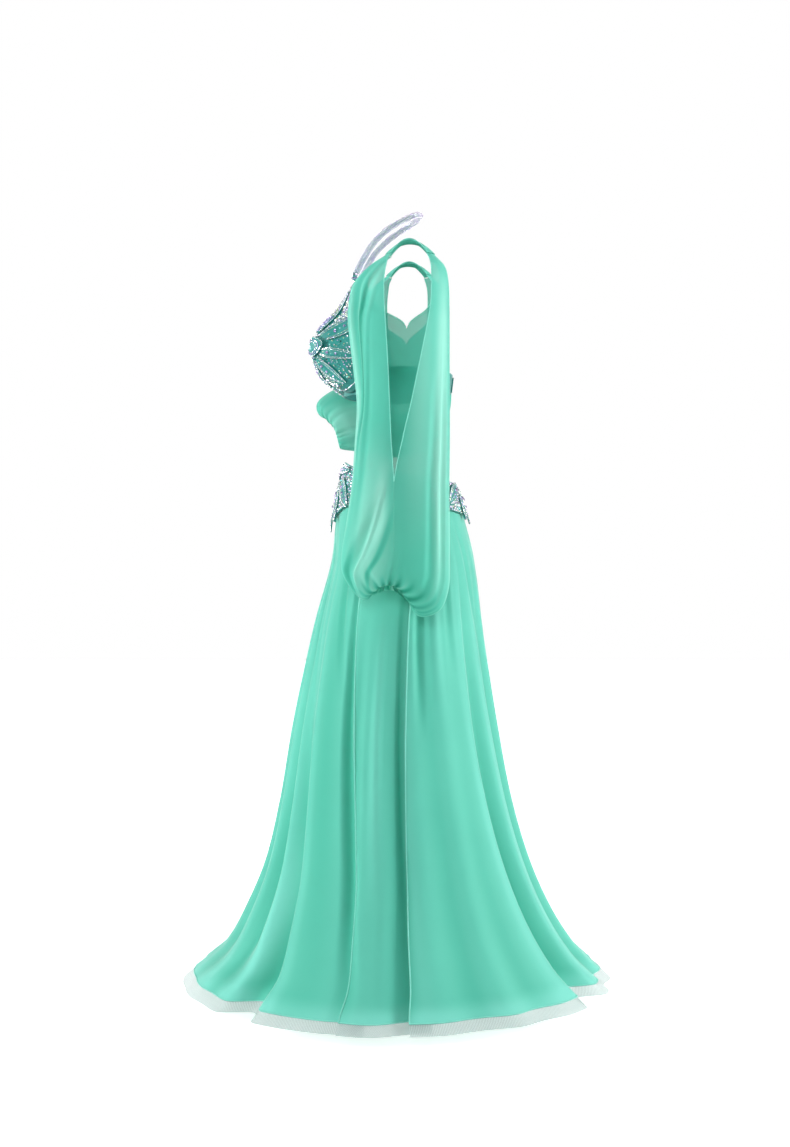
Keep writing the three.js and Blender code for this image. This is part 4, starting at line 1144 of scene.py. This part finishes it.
# ---------- Sleeves ----------
def sleeve(side, rows, mirrored, seed, gathered):
    """A sleeve's front and back with their edges, the roll that it hangs from, and its cuff."""
    last = rows["i"][-1]
    stations = np.r_[np.linspace(0, last - 3, 132)[:-1], np.linspace(last - 3, last, 64)]
    gathers = uneven(seed, 27, gathered)

    def front(station, u):
        hole = np.minimum(read(rows, "i", station, "hole_fore"), 180)
        return -mix(hole, np.maximum(read(rows, "i", station, "slit_fore"), 0), u)

    def back(station, u):
        hole = np.minimum(read(rows, "i", station, "hole_aft"), 180)
        return mix(np.maximum(read(rows, "i", station, "slit_aft"), 0), hole, u)

    grids, pieces = {}, {}
    for name, at in (("front", front), ("back", back)):
        station, u = np.meshgrid(stations, np.linspace(0, 1, 111), indexing="ij")
        turn = at(station, u)
        grid = sleeve_point(rows, station, turn, gathers)
        grids[name] = grid - outward(grid) * CHIFFON / 2
        # The fold mask carries the sleeve's painted shade and painted highlight.
        pieces[name] = cloth(
            f"sleeve_{name}_{side}_cloth", grids[name], sheer, "chiffon", f"sleeve_{name}_{side}",
            mirrored, fold=sleeve_painted_light(rows, station, turn, gathers))
    slit, hole = np.searchsorted(stations, [SLIT_FOOT, HOLE_FOOT])
    edges = [grids["front"][:slit, -1], grids["back"][:slit, 0],
             grids["front"][:hole, 0], grids["back"][:hole, -1]]
    rolled = cords(f"sleeve_edges_{side}", edges, SLEEVE_EDGE, edge_highlight_chiffon, mirrored)
    sewn = [grids["front"][slit - 1 :, -1]]
    seam = cords(f"sleeve_seam_{side}", sewn, SEAM_EDGE, chiffon, mirrored)
    for name, on_it in (("front", [rolled, seam]), ("back", [])):
        widest_cut(grids[name])

    v, u = shares(59, 72)
    a = sleeve_point(rows, 0 * u, back(0 * u, u), gathers)
    b = sleeve_point(rows, 0 * u, front(0 * u, 1 - u), gathers)
    share = mix(0.004, 0.996, v)
    roll = mix(a, b, share[..., None])
    pleat = 1.2 * np.cos(6 * np.pi * u) + 1.3 * np.sin(22 * np.pi * u + 1.5 * np.sin(3 * v))
    roll[..., 2] += ROLL_RISE * np.sin(np.pi * share) ** 0.8 + pleat * bump(2 * share - 1)
    roll = roll - outward(roll) * CHIFFON / 2
    top = cloth(f"shoulder_roll_{side}_cloth", roll, chiffon, "chiffon", f"shoulder_roll_{side}",
                mirrored)
    rolled = cords(
        f"shoulder_roll_edges_{side}", [roll[:, 0], roll[:, -1]], SLEEVE_EDGE, edge_highlight_chiffon, mirrored)
    widest_cut(roll)

    pinch = uneven(seed + 1, 44)
    bend = np.radians(read(rows, "i", last, "bend"))
    t, turn = np.meshgrid(np.linspace(0, 1, 12), np.linspace(0, 360, 289)[:-1], indexing="ij")
    rise = mix(CUFF_HEIGHT, 2 * SEAM, t)
    ring = sleeve_point(rows, last + 0 * turn, turn, gathers)
    ring = ring + stacked(0, np.sin(bend) * rise, np.cos(bend) * rise)
    out = (pinch(turn) - 0.6) * 1.3 - 0.4 + 0.8 * bump(2 * t - 1)
    ring = ring + outward(ring, True) * out[..., None]
    cuff = thick(f"cuff_{side}_cloth", ring, CUFF_WALL, chiffon, "chiffon", f"cuff_{side}",
                 mirrored, ring=True)
    closed = np.concatenate([ring, ring[:, :1]], 1)
    widest_cut(closed)


skirt()
belt()
bra()
halter()
sleeve("left", LEFT_SLEEVE, False, 71, 1.0)
sleeve("right", RIGHT_SLEEVE, True, 81, 0.5)


# ---------- Camera, light and floor ----------
def camera():
    lens = bpy.data.cameras.new("camera")
    lens.sensor_fit, lens.sensor_height, lens.lens = "VERTICAL", 36, 57.54
    lens.shift_x, lens.shift_y = -3 / FRAME_HEIGHT, -33.5 / FRAME_HEIGHT
    made = bpy.data.objects.new("camera", lens)
    made.location = (3.3, 0, -0.14)
    made.rotation_euler = (math.radians(90), 0, math.radians(90))
    bpy.context.scene.collection.objects.link(made)
    bpy.context.scene.camera = made


def surroundings():
    """A white backdrop for the camera, soft light on the cloth, and lit panels for the stones."""
    world = bpy.data.worlds.new("studio")
    world.use_nodes = True
    tree = world.node_tree
    tree.nodes.clear()

    def white(strength):
        return add_node(tree, "Background", {"Color": (1, 1, 1, 1), "Strength": strength})

    ray = add_node(tree, "LightPath")
    place = add_node(tree, "TexCoord")
    panels = add_node(tree, "TexVoronoi", {
        "Vector": place.outputs["Generated"], "Scale": 5.0})
    shine = white(map_range(tree, panels.outputs["Distance"], 0.32, 0.42, 3.2, 0.12))
    lit = mix_shaders(tree, ray.outputs["Is Glossy Ray"], white(0.24), shine)
    seen = mix_shaders(tree, ray.outputs["Is Camera Ray"], lit, white(1.0))
    add_node(tree, "OutputWorld", {"Surface": seen.outputs[0]})
    bpy.context.scene.world = world


def lamps():
    for name, place, aim, size, power in LAMPS:
        lamp = bpy.data.lights.new(name, "AREA")
        lamp.size, lamp.energy = size, power
        made = bpy.data.objects.new(name, lamp)
        made.location = place
        x, y, z = np.array(place) - np.array(aim)
        made.rotation_euler = (
            math.acos(z / math.hypot(x, y, z)), 0, math.atan2(y, x) + math.pi / 2)
        bpy.context.scene.collection.objects.link(made)


def floor():
    """A pale floor that looks nearly white to the camera and still takes the shadow."""
    mesh = bpy.data.meshes.new("floor")
    mesh.from_pydata([(-9, -9, 0), (9, -9, 0), (9, 9, 0), (-9, 9, 0)], [], [(0, 1, 2, 3)])
    pale, tree = new_material("pale_floor")
    face = add_node(tree, "BsdfPrincipled", {
        "Base Color": (0.86, 0.86, 0.86, 1), "Roughness": 0.9})
    ray = add_node(tree, "LightPath")
    lit = math_node(tree, "MULTIPLY", ray.outputs["Is Camera Ray"], 0.8)
    glow = add_node(tree, "Emission", {"Color": (1, 1, 1, 1), "Strength": lit})
    whole = add_node(tree, "AddShader", {0: face.outputs[0], 1: glow.outputs[0]})
    add_node(tree, "OutputMaterial", {"Surface": whole.outputs[0]})
    mesh.materials.append(pale)
    made = bpy.data.objects.new("floor", mesh)
    made.location = (0, 0, FLOOR_Z)
    bpy.context.scene.collection.objects.link(made)


bpy.context.scene.view_settings.view_transform = "Standard"
camera()
surroundings()
lamps()
floor()
